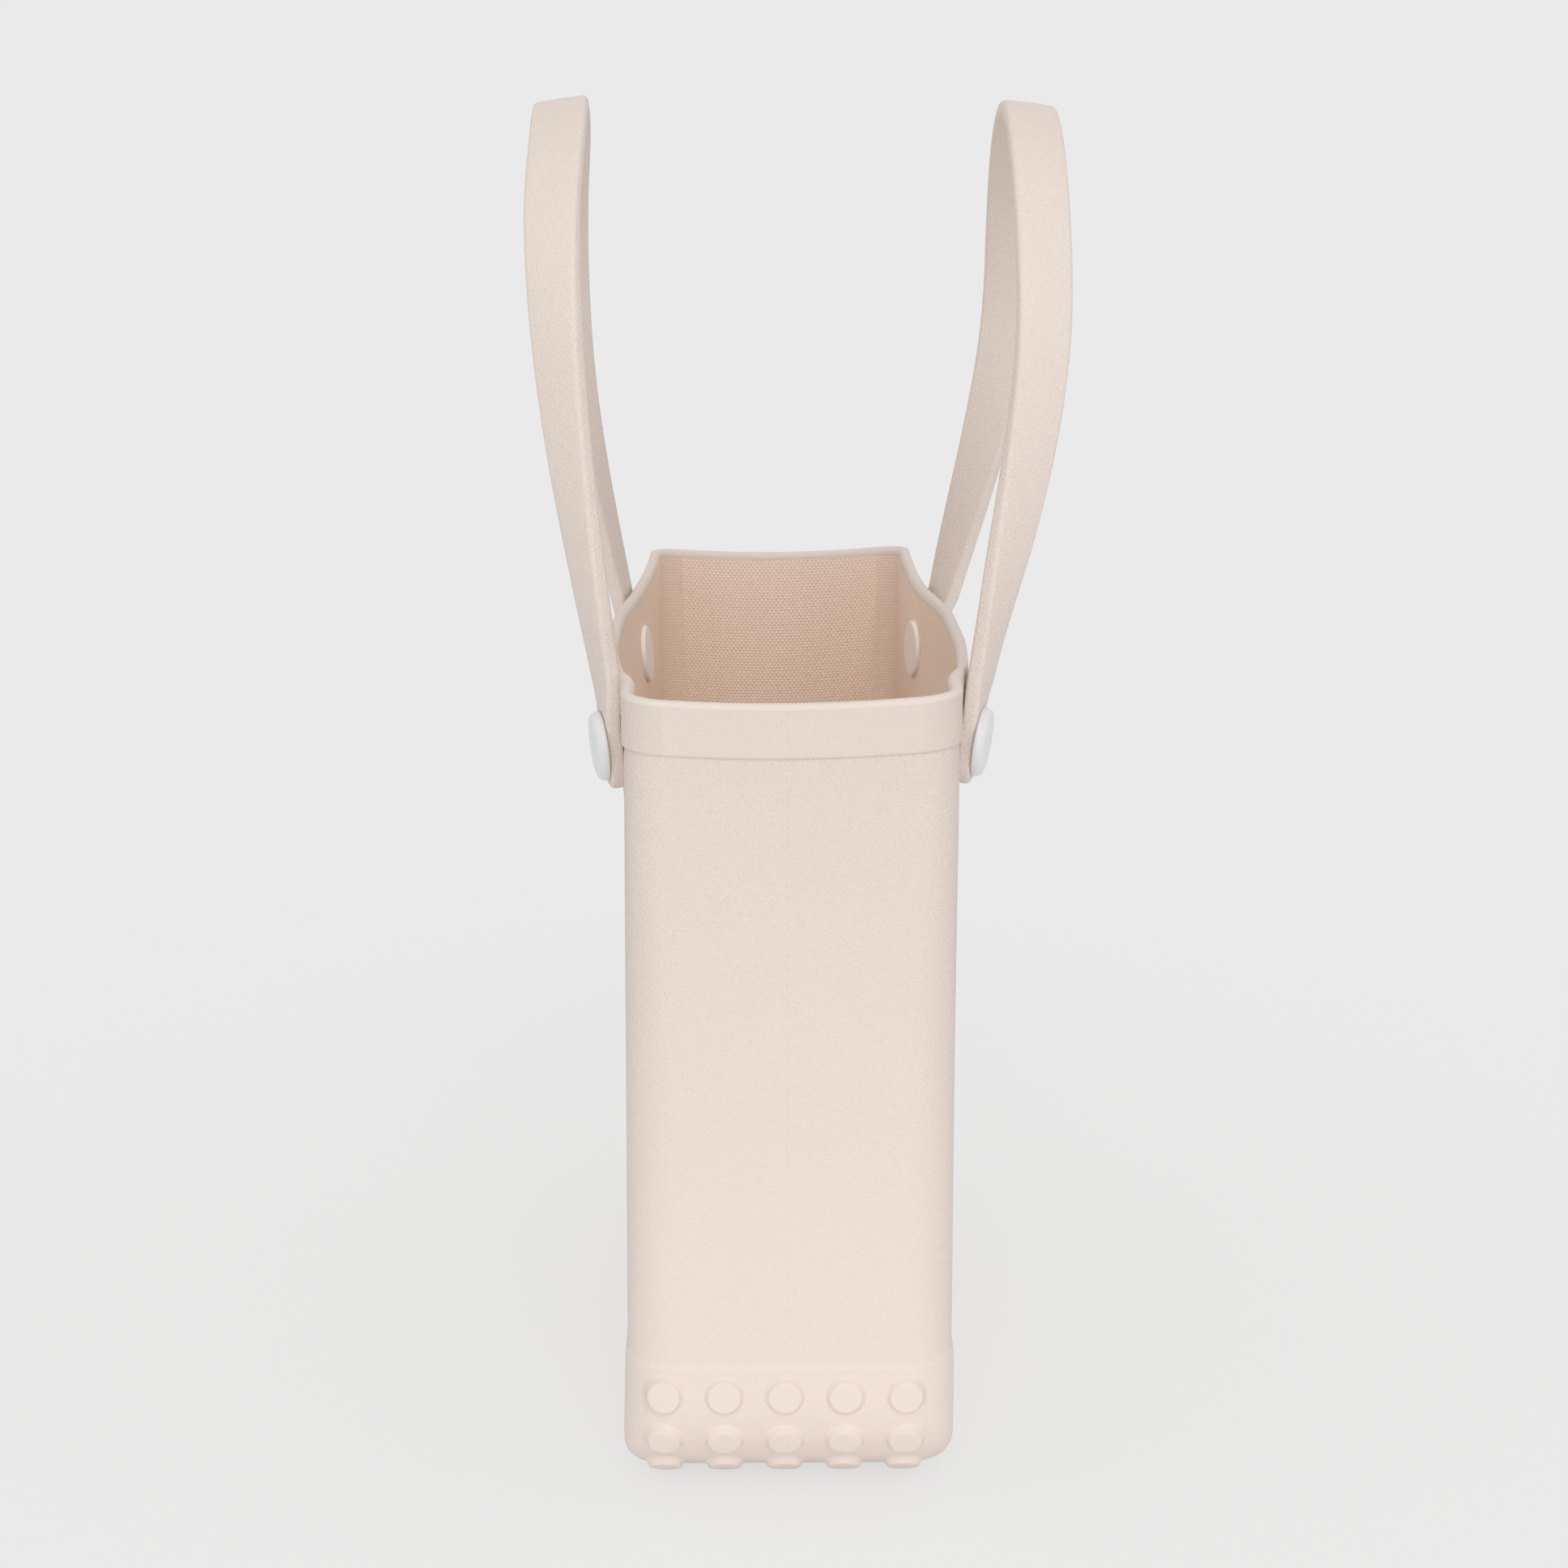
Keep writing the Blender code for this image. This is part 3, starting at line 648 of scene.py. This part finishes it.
print("points round one level:", len(level_outline(BASE_HALF_WIDTH, LENGTH / 2, CORNER_RADIUS)[0]))

# %% [markdown]
# Rounding a profile by hand would mean typing long lists. Instead each corner is given once, with a radius,
# and the helper swaps it for a short arc-like curve between the two straight parts that meet there.


# %% The profile up the wall and down again
def rounded(corners, steps=4):
    """A polyline's (inset, height, radius) corners, each replaced by a curve that keeps to its radius."""
    points = [Vector(corners[0][:2])]
    for before, corner, after in zip(corners[:-2], corners[1:-1], corners[2:]):
        here = Vector(corner[:2])
        start = here + (Vector(before[:2]) - here).normalized() * corner[2]
        stop = here + (Vector(after[:2]) - here).normalized() * corner[2]
        for i in range(steps + 1):
            t = i / steps
            points.append(start * (1 - t) ** 2 + here * 2 * t * (1 - t) + stop * t**2)
    points.append(Vector(corners[-1][:2]))
    return points


def filled_in(points, longest):
    """The same profile with no step longer than asked."""
    full = [points[0]]
    for start, stop in zip(points[:-1], points[1:]):
        count = max(1, math.ceil((stop - start).length / longest))
        full += [start.lerp(stop, (i + 1) / count) for i in range(count)]
    return full


def bottom_levels(inset, steps):
    """Levels of the rounded bottom edge, from the flat base up, as offset by inset from the panel."""
    end_radius = END_RADIUS - inset - BAND_PROUD
    side_radius = SIDE_RADIUS - inset - BAND_PROUD
    levels = []
    for i in range(steps + 1):
        a = math.pi / 2 * (1 - i / steps)
        inward, down = 1 - math.cos(a), math.sin(a)
        levels.append((
            inset + end_radius * inward, inset + side_radius * inward,
            STUD_HEIGHT + END_RADIUS - end_radius * down, STUD_HEIGHT + SIDE_RADIUS - side_radius * down,
        ))
    return levels


COLLAR_FOOT = HEIGHT - COLLAR_HEIGHT
ARC_TOP = STUD_HEIGHT + END_RADIUS
FLAT_RING = 0.0024
OUTER_BOTTOM_STEPS = 26
INNER_BOTTOM_STEPS = 10
# Each part has a finish, a longest step and its corners, and it starts where the part before it ended.
PROFILES = (
    ("canvas", 0.0055, ((-BAND_LEDGE, BAND_TOP, 0),)),
    ("panel", 0.0055, (
        (-BAND_LEDGE, BAND_TOP + 0.0004, 0.0004), (0.0, BAND_TOP + BAND_SLOPE, 0.0010),
        (0.0, COLLAR_FOOT - 0.0055, 0),
    )),
    ("panel", 0.0014, (
        (0.0, COLLAR_FOOT - 0.0042, 0.0010), (COLLAR_GROOVE, COLLAR_FOOT - 0.0004, 0.0005),
        (-COLLAR_PROUD / 2, COLLAR_FOOT, 0),
    )),
    ("collar", 0.0040, (
        (-COLLAR_PROUD, COLLAR_FOOT + 0.0005, 0.0006), (-COLLAR_PROUD, HEIGHT - 0.0022, 0),
    )),
    ("rim", 0.0040, (
        (-COLLAR_PROUD, HEIGHT, 0.0016), (0.0024, HEIGHT, 0.0010), (WALL, HEIGHT - 0.0019, 0.0014),
        (WALL, HEIGHT - 0.0036, 0),
    )),
    ("inside", 0.0065, ((WALL, ARC_TOP, 0),)),
)


def flat_ring(level):
    """A level inside the last one and just as high, so that the flat face within it is shaded as flat."""
    end_inset, side_inset, end_height, side_height = level
    return end_inset + FLAT_RING, side_inset + FLAT_RING, end_height, side_height


def skin_levels():
    """Each level as (end inset, side inset, end height, side height), with the finish that starts there."""
    levels = [(level, "canvas") for level in bottom_levels(-BAND_PROUD, OUTER_BOTTOM_STEPS)]
    levels.insert(0, (flat_ring(levels[0][0]), "underside"))
    reached = (-BAND_PROUD, ARC_TOP, 0)
    for finish, longest, corners in PROFILES:
        levels[-1] = (levels[-1][0], finish)
        profile = filled_in(rounded((reached, *corners)), longest)
        levels += [((p.x, p.x, p.y, p.y), finish) for p in profile[1:]]
        reached = corners[-1]
    levels += [(level, "inside") for level in reversed(bottom_levels(WALL, INNER_BOTTOM_STEPS)[:-1])]
    levels.append((flat_ring(levels[-1][0]), "inside"))
    return levels


def ring_faces(rings, sides):
    """Faces of a closed shape made of rings: quads between the rings and a flat face at each end."""
    faces = []
    for ring in range(rings - 1):
        for i in range(sides):
            j = (i + 1) % sides
            low, high = ring * sides, (ring + 1) * sides
            faces.append((low + i, low + j, high + j, high + i))
    faces.append(tuple(reversed(range(sides))))
    faces.append(tuple(range((rings - 1) * sides, rings * sides)))
    return faces


def add_finishes(mesh, face_finishes):
    """Gives each face of the mesh its finish."""
    names = list(FINISHES)
    for finish in FINISHES.values():
        mesh.materials.append(finish)
    mesh.polygons.foreach_set("material_index", [names.index(name) for name in face_finishes])


def build_skin():
    levels = skin_levels()
    rows = [level_points(*level) for level, _ in levels]
    count = len(rows[0])
    face_finishes = [finish for _, finish in levels[:-1] for _ in range(count)]
    mesh = bpy.data.meshes.new("tote_body")
    mesh.from_pydata(np.concatenate(rows).tolist(), [], ring_faces(len(rows), count))
    add_finishes(mesh, face_finishes + ["underside", "inside"])
    add_wall_map(mesh, rows, count)
    return mesh


def add_wall_map(mesh, rows, count):
    """A UV map in metres: distance round the bag, and distance up the surface, level at the rim."""
    steps = [np.linalg.norm(high - low, axis=1) for low, high in zip(rows[:-1], rows[1:])]
    climb = np.concatenate([np.zeros((1, count)), np.cumsum(steps, axis=0)])
    rim_level = int(np.argmax([row[0, 2] for row in rows]))
    climb = climb - climb[rim_level]
    climb = np.concatenate([climb, climb[:, :1]], axis=1)
    around = around_map()
    layer = mesh.uv_layers.new(name=WALL_MAP)
    values = []
    for i in range(len(rows) - 1):
        for j in range(count):
            values += [around[j], climb[i, j], around[j + 1], climb[i, j + 1]]
            values += [around[j + 1], climb[i + 1, j + 1], around[j], climb[i + 1, j]]
    for row in (reversed(rows[0].tolist()), rows[-1].tolist()):
        for x, y, _ in row:
            values += [x, y]
    layer.uv.foreach_set("vector", values)


skin = build_skin()
print("skin faces:", len(skin.polygons))

# %% [markdown]
# ## Studs and feet
# The base carries rows of round studs: five columns run down each end, round the bottom edge and under the
# bag, where they are its feet. Every stud is a low, flared button, and the flare lets it grow out of the foam
# without a hard crease. The base is curved, so a button turned on a flat plane would stand off it at one
# side. Each point of the button is therefore dropped on the skin with a ray first, and then raised by its
# height. The flare keeps the canvas, so it takes over the skin's own map where the ray landed.

# %% Where the studs stand
STUD_PITCH = 0.0244
STUD_SHIFT = -0.0022
STUD_COLUMNS = range(-2, 3)
TOP_ROW_Z = 0.0483
STUD_ROW_ANGLES = (24.5, 53.5, 79.5)
FOOT_ROW_PITCH = 0.0271
FOOT_ROWS = range(-5, 6)


def facing(place, out):
    """A frame at that place with its Z axis pointing out of the foam and its X axis across the bag."""
    across = Vector((1.0, 0.0, 0.0))
    turn = Matrix((across, out.cross(across), out)).transposed().to_4x4()
    return Matrix.Translation(place) @ turn


def stud_frames():
    frames = []
    end_y = LENGTH / 2 + BAND_PROUD
    for column in STUD_COLUMNS:
        x = STUD_SHIFT + STUD_PITCH * column
        for end in ENDS.values():
            frames.append(facing(Vector((x, end * end_y, TOP_ROW_Z)), Vector((0.0, end, 0.0))))
            for angle in map(math.radians, STUD_ROW_ANGLES):
                out = Vector((0.0, end * math.cos(angle), -math.sin(angle)))
                centre = Vector((x, end * (end_y - END_RADIUS), ARC_TOP))
                frames.append(facing(centre + out * END_RADIUS, out))
        for row in FOOT_ROWS:
            frames.append(facing(Vector((x, row * FOOT_ROW_PITCH, STUD_HEIGHT)), Vector((0.0, 0.0, -1.0))))
    return frames


print("studs:", len(stud_frames()))

# %% Build the studs on the skin
STUD_PROFILE = (
    (0.0085, -0.0020), (0.0084, -0.0002), (0.0081, 0.0001), (0.0077, 0.0004), (0.0073, 0.0009),
    (0.0070, 0.0014), (0.0068, 0.0018), (0.0066, 0.0021), (0.0063, 0.00233), (0.0059, 0.00246),
    (0.0053, 0.0025), (0.0028, 0.0025),
)
STUD_SIDES = 40
FLARE_RINGS = 2
FACE_FLATNESS = 0.55
DROP_FROM = 0.012
FACES_DOWN = -0.99


def ring_points(radius, sides):
    turns = np.linspace(0.0, 2 * math.pi, sides, endpoint=False)
    return [(radius * math.cos(a), radius * math.sin(a)) for a in turns]


def map_at(skin_mesh, face_index, spot):
    """The skin's own wall map at a spot on one of its faces."""
    face = skin_mesh.polygons[face_index]
    shares = poly_3d_calc([skin_mesh.vertices[v].co for v in face.vertices], spot)
    values = skin_mesh.uv_layers[WALL_MAP].uv
    marks = (values[loop].vector * share for loop, share in zip(face.loop_indices, shares))
    return sum(marks, Vector((0.0, 0.0)))


def build_studs(skin_mesh):
    skin_points = [vertex.co for vertex in skin_mesh.vertices]
    surface = BVHTree.FromPolygons(skin_points, [face.vertices[:] for face in skin_mesh.polygons])
    rings = ring_faces(len(STUD_PROFILE), STUD_SIDES)
    points, faces, face_finishes, marks = [], [], [], []
    for stand in stud_frames():
        out = stand.col[2].to_3d()
        is_foot = out.z < FACES_DOWN
        flare = ["underside" if is_foot else "canvas"] * (FLARE_RINGS * STUD_SIDES)
        face_finishes += flare + ["stud"] * (len(rings) - len(flare))
        faces += [tuple(v + len(points) for v in face) for face in rings]
        for radius, height in STUD_PROFILE:
            follows = 1.0 - FACE_FLATNESS * float(ease(height / STUD_PROFILE[-1][1]))
            for across, up in ring_points(radius, STUD_SIDES):
                hit, _, face_index, distance = surface.ray_cast(stand @ Vector((across, up, DROP_FROM)), -out)
                below = DROP_FROM - distance if hit else 0.0
                spot = stand @ Vector((across, up, height + follows * below))
                points.append((spot.x, spot.y, max(spot.z, 0.0)))
                mapped = hit and not is_foot
                marks.append(map_at(skin_mesh, face_index, hit) if mapped else Vector((0.0, 0.0)))
    mesh = bpy.data.meshes.new("studs")
    mesh.from_pydata(points, [], faces)
    layer = mesh.uv_layers.new(name=WALL_MAP)
    layer.uv.foreach_set("vector", [value for face in faces for v in face for value in marks[v]])
    add_finishes(mesh, face_finishes)
    return mesh


studs = build_studs(skin)
print("stud faces:", len(studs.polygons))

# %% [markdown]
# The skin and the studs are two closed meshes that cut through each other. A Boolean union makes one skin of
# them, as the mould does. Smooth shading with a limit on the angle keeps the small crisp edges crisp.

# %% Join the studs to the skin
SHARP_ANGLE = 40.0
BODY_SHARP_ANGLE = 32.0


def place_object(name, mesh, sharp_angle=SHARP_ANGLE):
    mesh.shade_smooth()
    mesh.set_sharp_from_angle(angle=math.radians(sharp_angle))
    return add_object(name, mesh)


def joined(name, first_mesh, second_mesh):
    """The Boolean union of two meshes, as one plain mesh."""
    first = place_object("first_shape", first_mesh)
    second = place_object("second_shape", second_mesh)
    modifier = first.modifiers.new("join", "BOOLEAN")
    modifier.operation = "UNION"
    modifier.solver = "EXACT"
    modifier.object = second
    result = bpy.data.meshes.new_from_object(first.evaluated_get(bpy.context.evaluated_depsgraph_get()))
    result.name = name
    for obj in (first, second):
        bpy.data.objects.remove(obj)
    return result


tote_body = place_object("tote_body", joined("tote_body", skin, studs), BODY_SHARP_ANGLE)
print("body faces:", len(tote_body.data.polygons))

# %% [markdown]
# ## Straps
# Each strap is one flat band with soft edges. It starts with a round tail under its rivet, lies on the wall,
# then leans out and twists a quarter turn as it climbs, so that its crown lies flat over the arch. A path, a
# turn and a cross-section are all it needs: rings of the section are set along the path and skinned. It is
# one mesh from tail to tail, because the real band has no joint at the fold.

# %% The strap's measured shape
# Sizes are in metres and angles in degrees. The turns are read at the heights of TURN_HEIGHTS.
STRAP_THICKNESS = 0.0064
STRAP_CLEARANCE = 0.0003
STRAP_TAIL = 0.0185
LEAVES_WALL = 0.0060
MEETS_ARC = 0.0300
BEND_Z = 0.3125
TURN_HEIGHTS = (0.305, 0.345, 0.385, 0.430, 0.485, 0.5515)
STRAPS = {
    "left": {"flat": (0.0728, 0.0747), "lean": (0.0211, 0.0263), "lean rise": 0.1959, "lean power": 1.03,
             "drawn in": 0.0020, "top": 0.5516, "crown": 0.0918, "half span": 0.1011, "width": 0.0231,
             "near turn": (16.1, 25.4, 35.8, 48.9, 62.3, 81.4),
             "far turn": (8.3, 12.0, 16.9, 26.1, 46.9, 81.4)},
    "right": {"flat": (0.0770, 0.0756), "lean": (0.0245, 0.0303), "lean rise": 0.1651, "lean power": 1.165,
              "drawn in": 0.0010, "top": 0.5504, "crown": 0.0996, "half span": 0.1024, "width": 0.0227,
              "near turn": (14.8, 27.8, 49.2, 65.8, 75.4, 83.3),
              "far turn": (12.6, 32.2, 51.7, 72.8, 84.4, 83.3)},
}


def smooth_through(values, z):
    """A smooth curve through values given at TURN_HEIGHTS, level at the top."""
    heights = np.array(TURN_HEIGHTS)
    values = np.array(values)
    slopes = np.zeros(len(heights))
    slopes[0] = (values[1] - values[0]) / (heights[1] - heights[0])
    slopes[1:-1] = (values[2:] - values[:-2]) / (heights[2:] - heights[:-2])
    z = min(max(z, heights[0]), heights[-1])
    i = min(int(np.searchsorted(heights, z, side="right")) - 1, len(heights) - 2)
    step = heights[i + 1] - heights[i]
    t = (z - heights[i]) / step
    rise = (2 * t**3 - 3 * t**2 + 1) * values[i] + (3 * t**2 - 2 * t**3) * values[i + 1]
    return rise + step * ((t**3 - 2 * t**2 + t) * slopes[i] + (t**3 - t**2) * slopes[i + 1])


print("strap widths in mm:", {side: round(1000 * strap["width"], 1) for side, strap in STRAPS.items()})

# %% The strap's path
PATH_STEP = 0.0026
TAIL_STEPS = 5
CROWN_STEPS = 64


def between_ends(pair, across):
    """A value between its near one (across = -1) and its far one (across = 1)."""
    return (pair[0] * (1 - across) + pair[1] * (1 + across)) / 2


def leaning_x(strap, y, z):
    """Distance of the strap's middle line from the bag's middle above the bend."""
    across = min(max(y / strap["half span"], -1.0), 1.0)
    share = min(max((z - BEND_Z) / strap["lean rise"], 0.0), 1.0) ** strap["lean power"]
    top_of_lean = BEND_Z + strap["lean rise"]
    drawn = strap["drawn in"] * float(ease((z - top_of_lean) / (strap["top"] - top_of_lean)))
    flat, lean = between_ends(strap["flat"], across), between_ends(strap["lean"], across)
    return flat + lean * math.sin(math.pi / 2 * share) - drawn


def leg_point(side, end, z):
    """A point of a leg below the crown: on the wall's slant at the rivet, then on the leaning curve."""
    strap = STRAPS[side]
    stand = rivet_frame(side, end)
    out, up = stand.col[2].to_3d(), stand.col[1].to_3d()
    seat = stand.translation + out * (STRAP_CLEARANCE + STRAP_THICKNESS / 2)
    on_wall = seat + up * ((z - seat.z) / up.z)
    shoulder = strap["top"] - strap["crown"]
    y = RIVET_Y + (strap["half span"] - RIVET_Y) * float(ease((z - BEND_Z) / (shoulder - BEND_Z)))
    in_air = Vector((SIDES[side] * leaning_x(strap, ENDS[end] * y, z), ENDS[end] * y, z))
    return on_wall.lerp(in_air, float(ease((z - seat.z - LEAVES_WALL) / (MEETS_ARC - LEAVES_WALL))))


def strap_path(side):
    """The middle line from the near tail, up, over the crown and down to the far tail."""
    strap = STRAPS[side]
    shoulder = strap["top"] - strap["crown"]
    legs = {}
    for end in ENDS:
        stand = rivet_frame(side, end)
        tail_z = (stand.translation - stand.col[1].to_3d() * STRAP_TAIL).z
        tail_heights = tail_z + PATH_STEP * np.linspace(0.0, 1.0, TAIL_STEPS + 1)[:-1]
        heights = np.concatenate([tail_heights, np.arange(tail_z + PATH_STEP, shoulder, PATH_STEP)])
        legs[end] = [leg_point(side, end, z) for z in heights]
    crown = []
    for a in np.linspace(math.pi, 0.0, CROWN_STEPS + 1):
        y = strap["half span"] * math.cos(a)
        z = shoulder + strap["crown"] * math.sin(a)
        crown.append(Vector((SIDES[side] * leaning_x(strap, y, z), y, z)))
    return legs["near"] + crown + legs["far"][::-1]


def travelled(path):
    """Distance along the path to each of its points."""
    steps = [(b - a).length for a, b in zip(path[:-1], path[1:])]
    return np.concatenate([[0.0], np.cumsum(steps)])


print("strap lengths in mm:", {side: round(1000 * travelled(strap_path(side))[-1]) for side in SIDES})

# %% The strap's section, turned and set along its path
STRAP_EDGE = 0.0019
TAIL_ROUNDING = 0.0028
STRAP_CROWNING = 0.0002
EDGE_STEPS = 5
EDGE_LIMIT = 0.9
TAIL_TIP = 0.0003
FACE_TIP = 0.0002


def section_outline(half_width, half_thickness):
    """Points round a flat band with rounded edges and faces that swell by a hair."""
    edge = min(STRAP_EDGE, half_width * EDGE_LIMIT, half_thickness * EDGE_LIMIT)
    flat_x, flat_y = half_width - edge, half_thickness - edge
    points = []
    for quadrant in range(4):
        across = 1 if quadrant in (0, 3) else -1
        out = 1 if quadrant in (0, 1) else -1
        for i in range(EDGE_STEPS + 1):
            a = math.pi / 2 * (quadrant + i / EDGE_STEPS)
            points.append((across * flat_x + edge * math.cos(a), out * flat_y + edge * math.sin(a)))
        if quadrant in (0, 2):
            for t in (0.5, 0.0, -0.5):
                swell = STRAP_CROWNING * (1 - t * t)
                points.append((across * t * flat_x, out * (half_thickness + swell)))
    return points


def strap_directions(side, path):
    """For each point of the path, the direction along it and the direction that its outer face looks."""
    strap = STRAPS[side]
    directions = []
    for i, point in enumerate(path):
        along = (path[min(i + 1, len(path) - 1)] - path[max(i - 1, 0)]).normalized()
        end = "near" if point.y < 0 else "far"
        toe = RIVETS[side, end]["toe"]
        freed = float(ease((point.z - RIVET_Z - LEAVES_WALL) / (MEETS_ARC - LEAVES_WALL)))
        twist = math.radians(toe + (smooth_through(strap[end + " turn"], point.z) - toe) * freed)
        flat_out = Vector((SIDES[side], 0.0, 0.0))
        flat_out = (flat_out - along * flat_out.dot(along)).normalized()
        arch_out = SIDES[side] * flat_out.cross(along)
        directions.append((along, flat_out * math.cos(twist) + arch_out * math.sin(twist)))
    return directions


def quarter_round(t):
    """A quarter circle's height, from 0 at t = 0 to 1 at t = 1 and after."""
    return math.sqrt(max(0.0, 1 - max(0.0, 1 - t) ** 2))


def build_strap(side):
    path = strap_path(side)
    half_width = STRAPS[side]["width"] / 2
    half_thickness = STRAP_THICKNESS / 2
    distances = travelled(path)
    points = []
    for point, (along, out), done in zip(path, strap_directions(side, path), distances):
        from_tail = min(done, distances[-1] - done)
        round_tail = quarter_round((from_tail + TAIL_TIP) / half_width)
        round_face = quarter_round((from_tail + FACE_TIP) / TAIL_ROUNDING)
        thickness = half_thickness - TAIL_ROUNDING + TAIL_ROUNDING * round_face
        across = along.cross(out)
        for a, b in section_outline(half_width * round_tail, thickness):
            points.append(point + across * a + out * b)
    mesh = bpy.data.meshes.new(f"strap_{side}")
    mesh.from_pydata(points, [], ring_faces(len(path), len(points) // len(path)))
    mesh.materials.append(STRAP_FINISH)
    return place_object(f"strap_{side}", mesh)


straps = {side: build_strap(side) for side in SIDES}
print("strap faces:", {side: len(strap.data.polygons) for side, strap in straps.items()})

# %% [markdown]
# ## Rivets
# A white cap presses the strap on the wall from outside. Its stem goes through both and snaps into a thin
# socket inside the bag. Both are turned parts, so each is a profile spun round the rivet's axis. The cap's
# face is flat with a generous round shoulder, and the socket is a thin disc with a soft edge.

# %% Build the caps and sockets
RIVET_SIDES = 96
CAP_SEAT = 2 * STRAP_CLEARANCE + STRAP_THICKNESS
CAP_PROFILE = (
    (0.0140, -0.0002), (0.0144, 0.0001), (0.0145, 0.0005), (0.01448, 0.0010), (0.01438, 0.0016),
    (0.0142, 0.0022), (0.0139, 0.0028), (0.01345, 0.0034), (0.0129, 0.0038), (0.0122, 0.00408),
    (0.0114, 0.00422), (0.0105, 0.00428), (0.0050, 0.0043),
)
SOCKET_PROFILE = (
    (0.0040, -0.0020), (0.0118, -0.0020), (0.0126, -0.00195), (0.0131, -0.0017), (0.0134, -0.0013),
    (0.0135, -0.0008), (0.0135, 0.0),
)
STEM_RADIUS = 0.0035
SOCKET_GAP = 0.0050
STEM_PAST_SEAT = 0.001
RIVET_SHARP_ANGLE = 50.0


def build_turned(name, stand, profile, finish):
    """A (radius, height) profile, turned round the Z axis of its stand."""
    points = []
    for radius, height in profile:
        points += [stand @ Vector((x, y, height)) for x, y in ring_points(radius, RIVET_SIDES)]
    mesh = bpy.data.meshes.new(name)
    mesh.from_pydata(points, [], ring_faces(len(profile), RIVET_SIDES))
    mesh.materials.append(finish)
    return place_object(name, mesh, RIVET_SHARP_ANGLE)


caps, sockets = {}, {}
for side, end in RIVETS:
    stand = rivet_frame(side, end)
    stem = ((STEM_RADIUS, -SOCKET_GAP - STEM_PAST_SEAT), (STEM_RADIUS, CAP_SEAT))
    cap_profile = stem + tuple((radius, CAP_SEAT + height) for radius, height in CAP_PROFILE)
    caps[side, end] = build_turned(f"cap_{side}_{end}", stand, cap_profile, CAP_FINISH)
    socket_profile = tuple((radius, height - SOCKET_GAP) for radius, height in SOCKET_PROFILE)
    sockets[side, end] = build_turned(f"socket_{side}_{end}", stand, socket_profile, SOCKET_FINISH)
print("rivets:", len(caps), "caps and", len(sockets), "sockets")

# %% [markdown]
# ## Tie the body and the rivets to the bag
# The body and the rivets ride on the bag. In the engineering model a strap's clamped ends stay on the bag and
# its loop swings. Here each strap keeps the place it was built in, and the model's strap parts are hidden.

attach(tote_body, "bag")
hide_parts("bag_body")
for (side, end), cap in caps.items():
    socket = sockets[side, end]
    for piece, node in ((cap, "rivet_cap"), (socket, "rivet_socket")):
        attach(piece, "bag")
        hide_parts(f"{node}_{side}_{end}")
for side, strap in straps.items():
    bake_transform(strap)
    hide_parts(f"strap_end_{side}_near", f"strap_loop_{side}", f"strap_end_{side}_far")
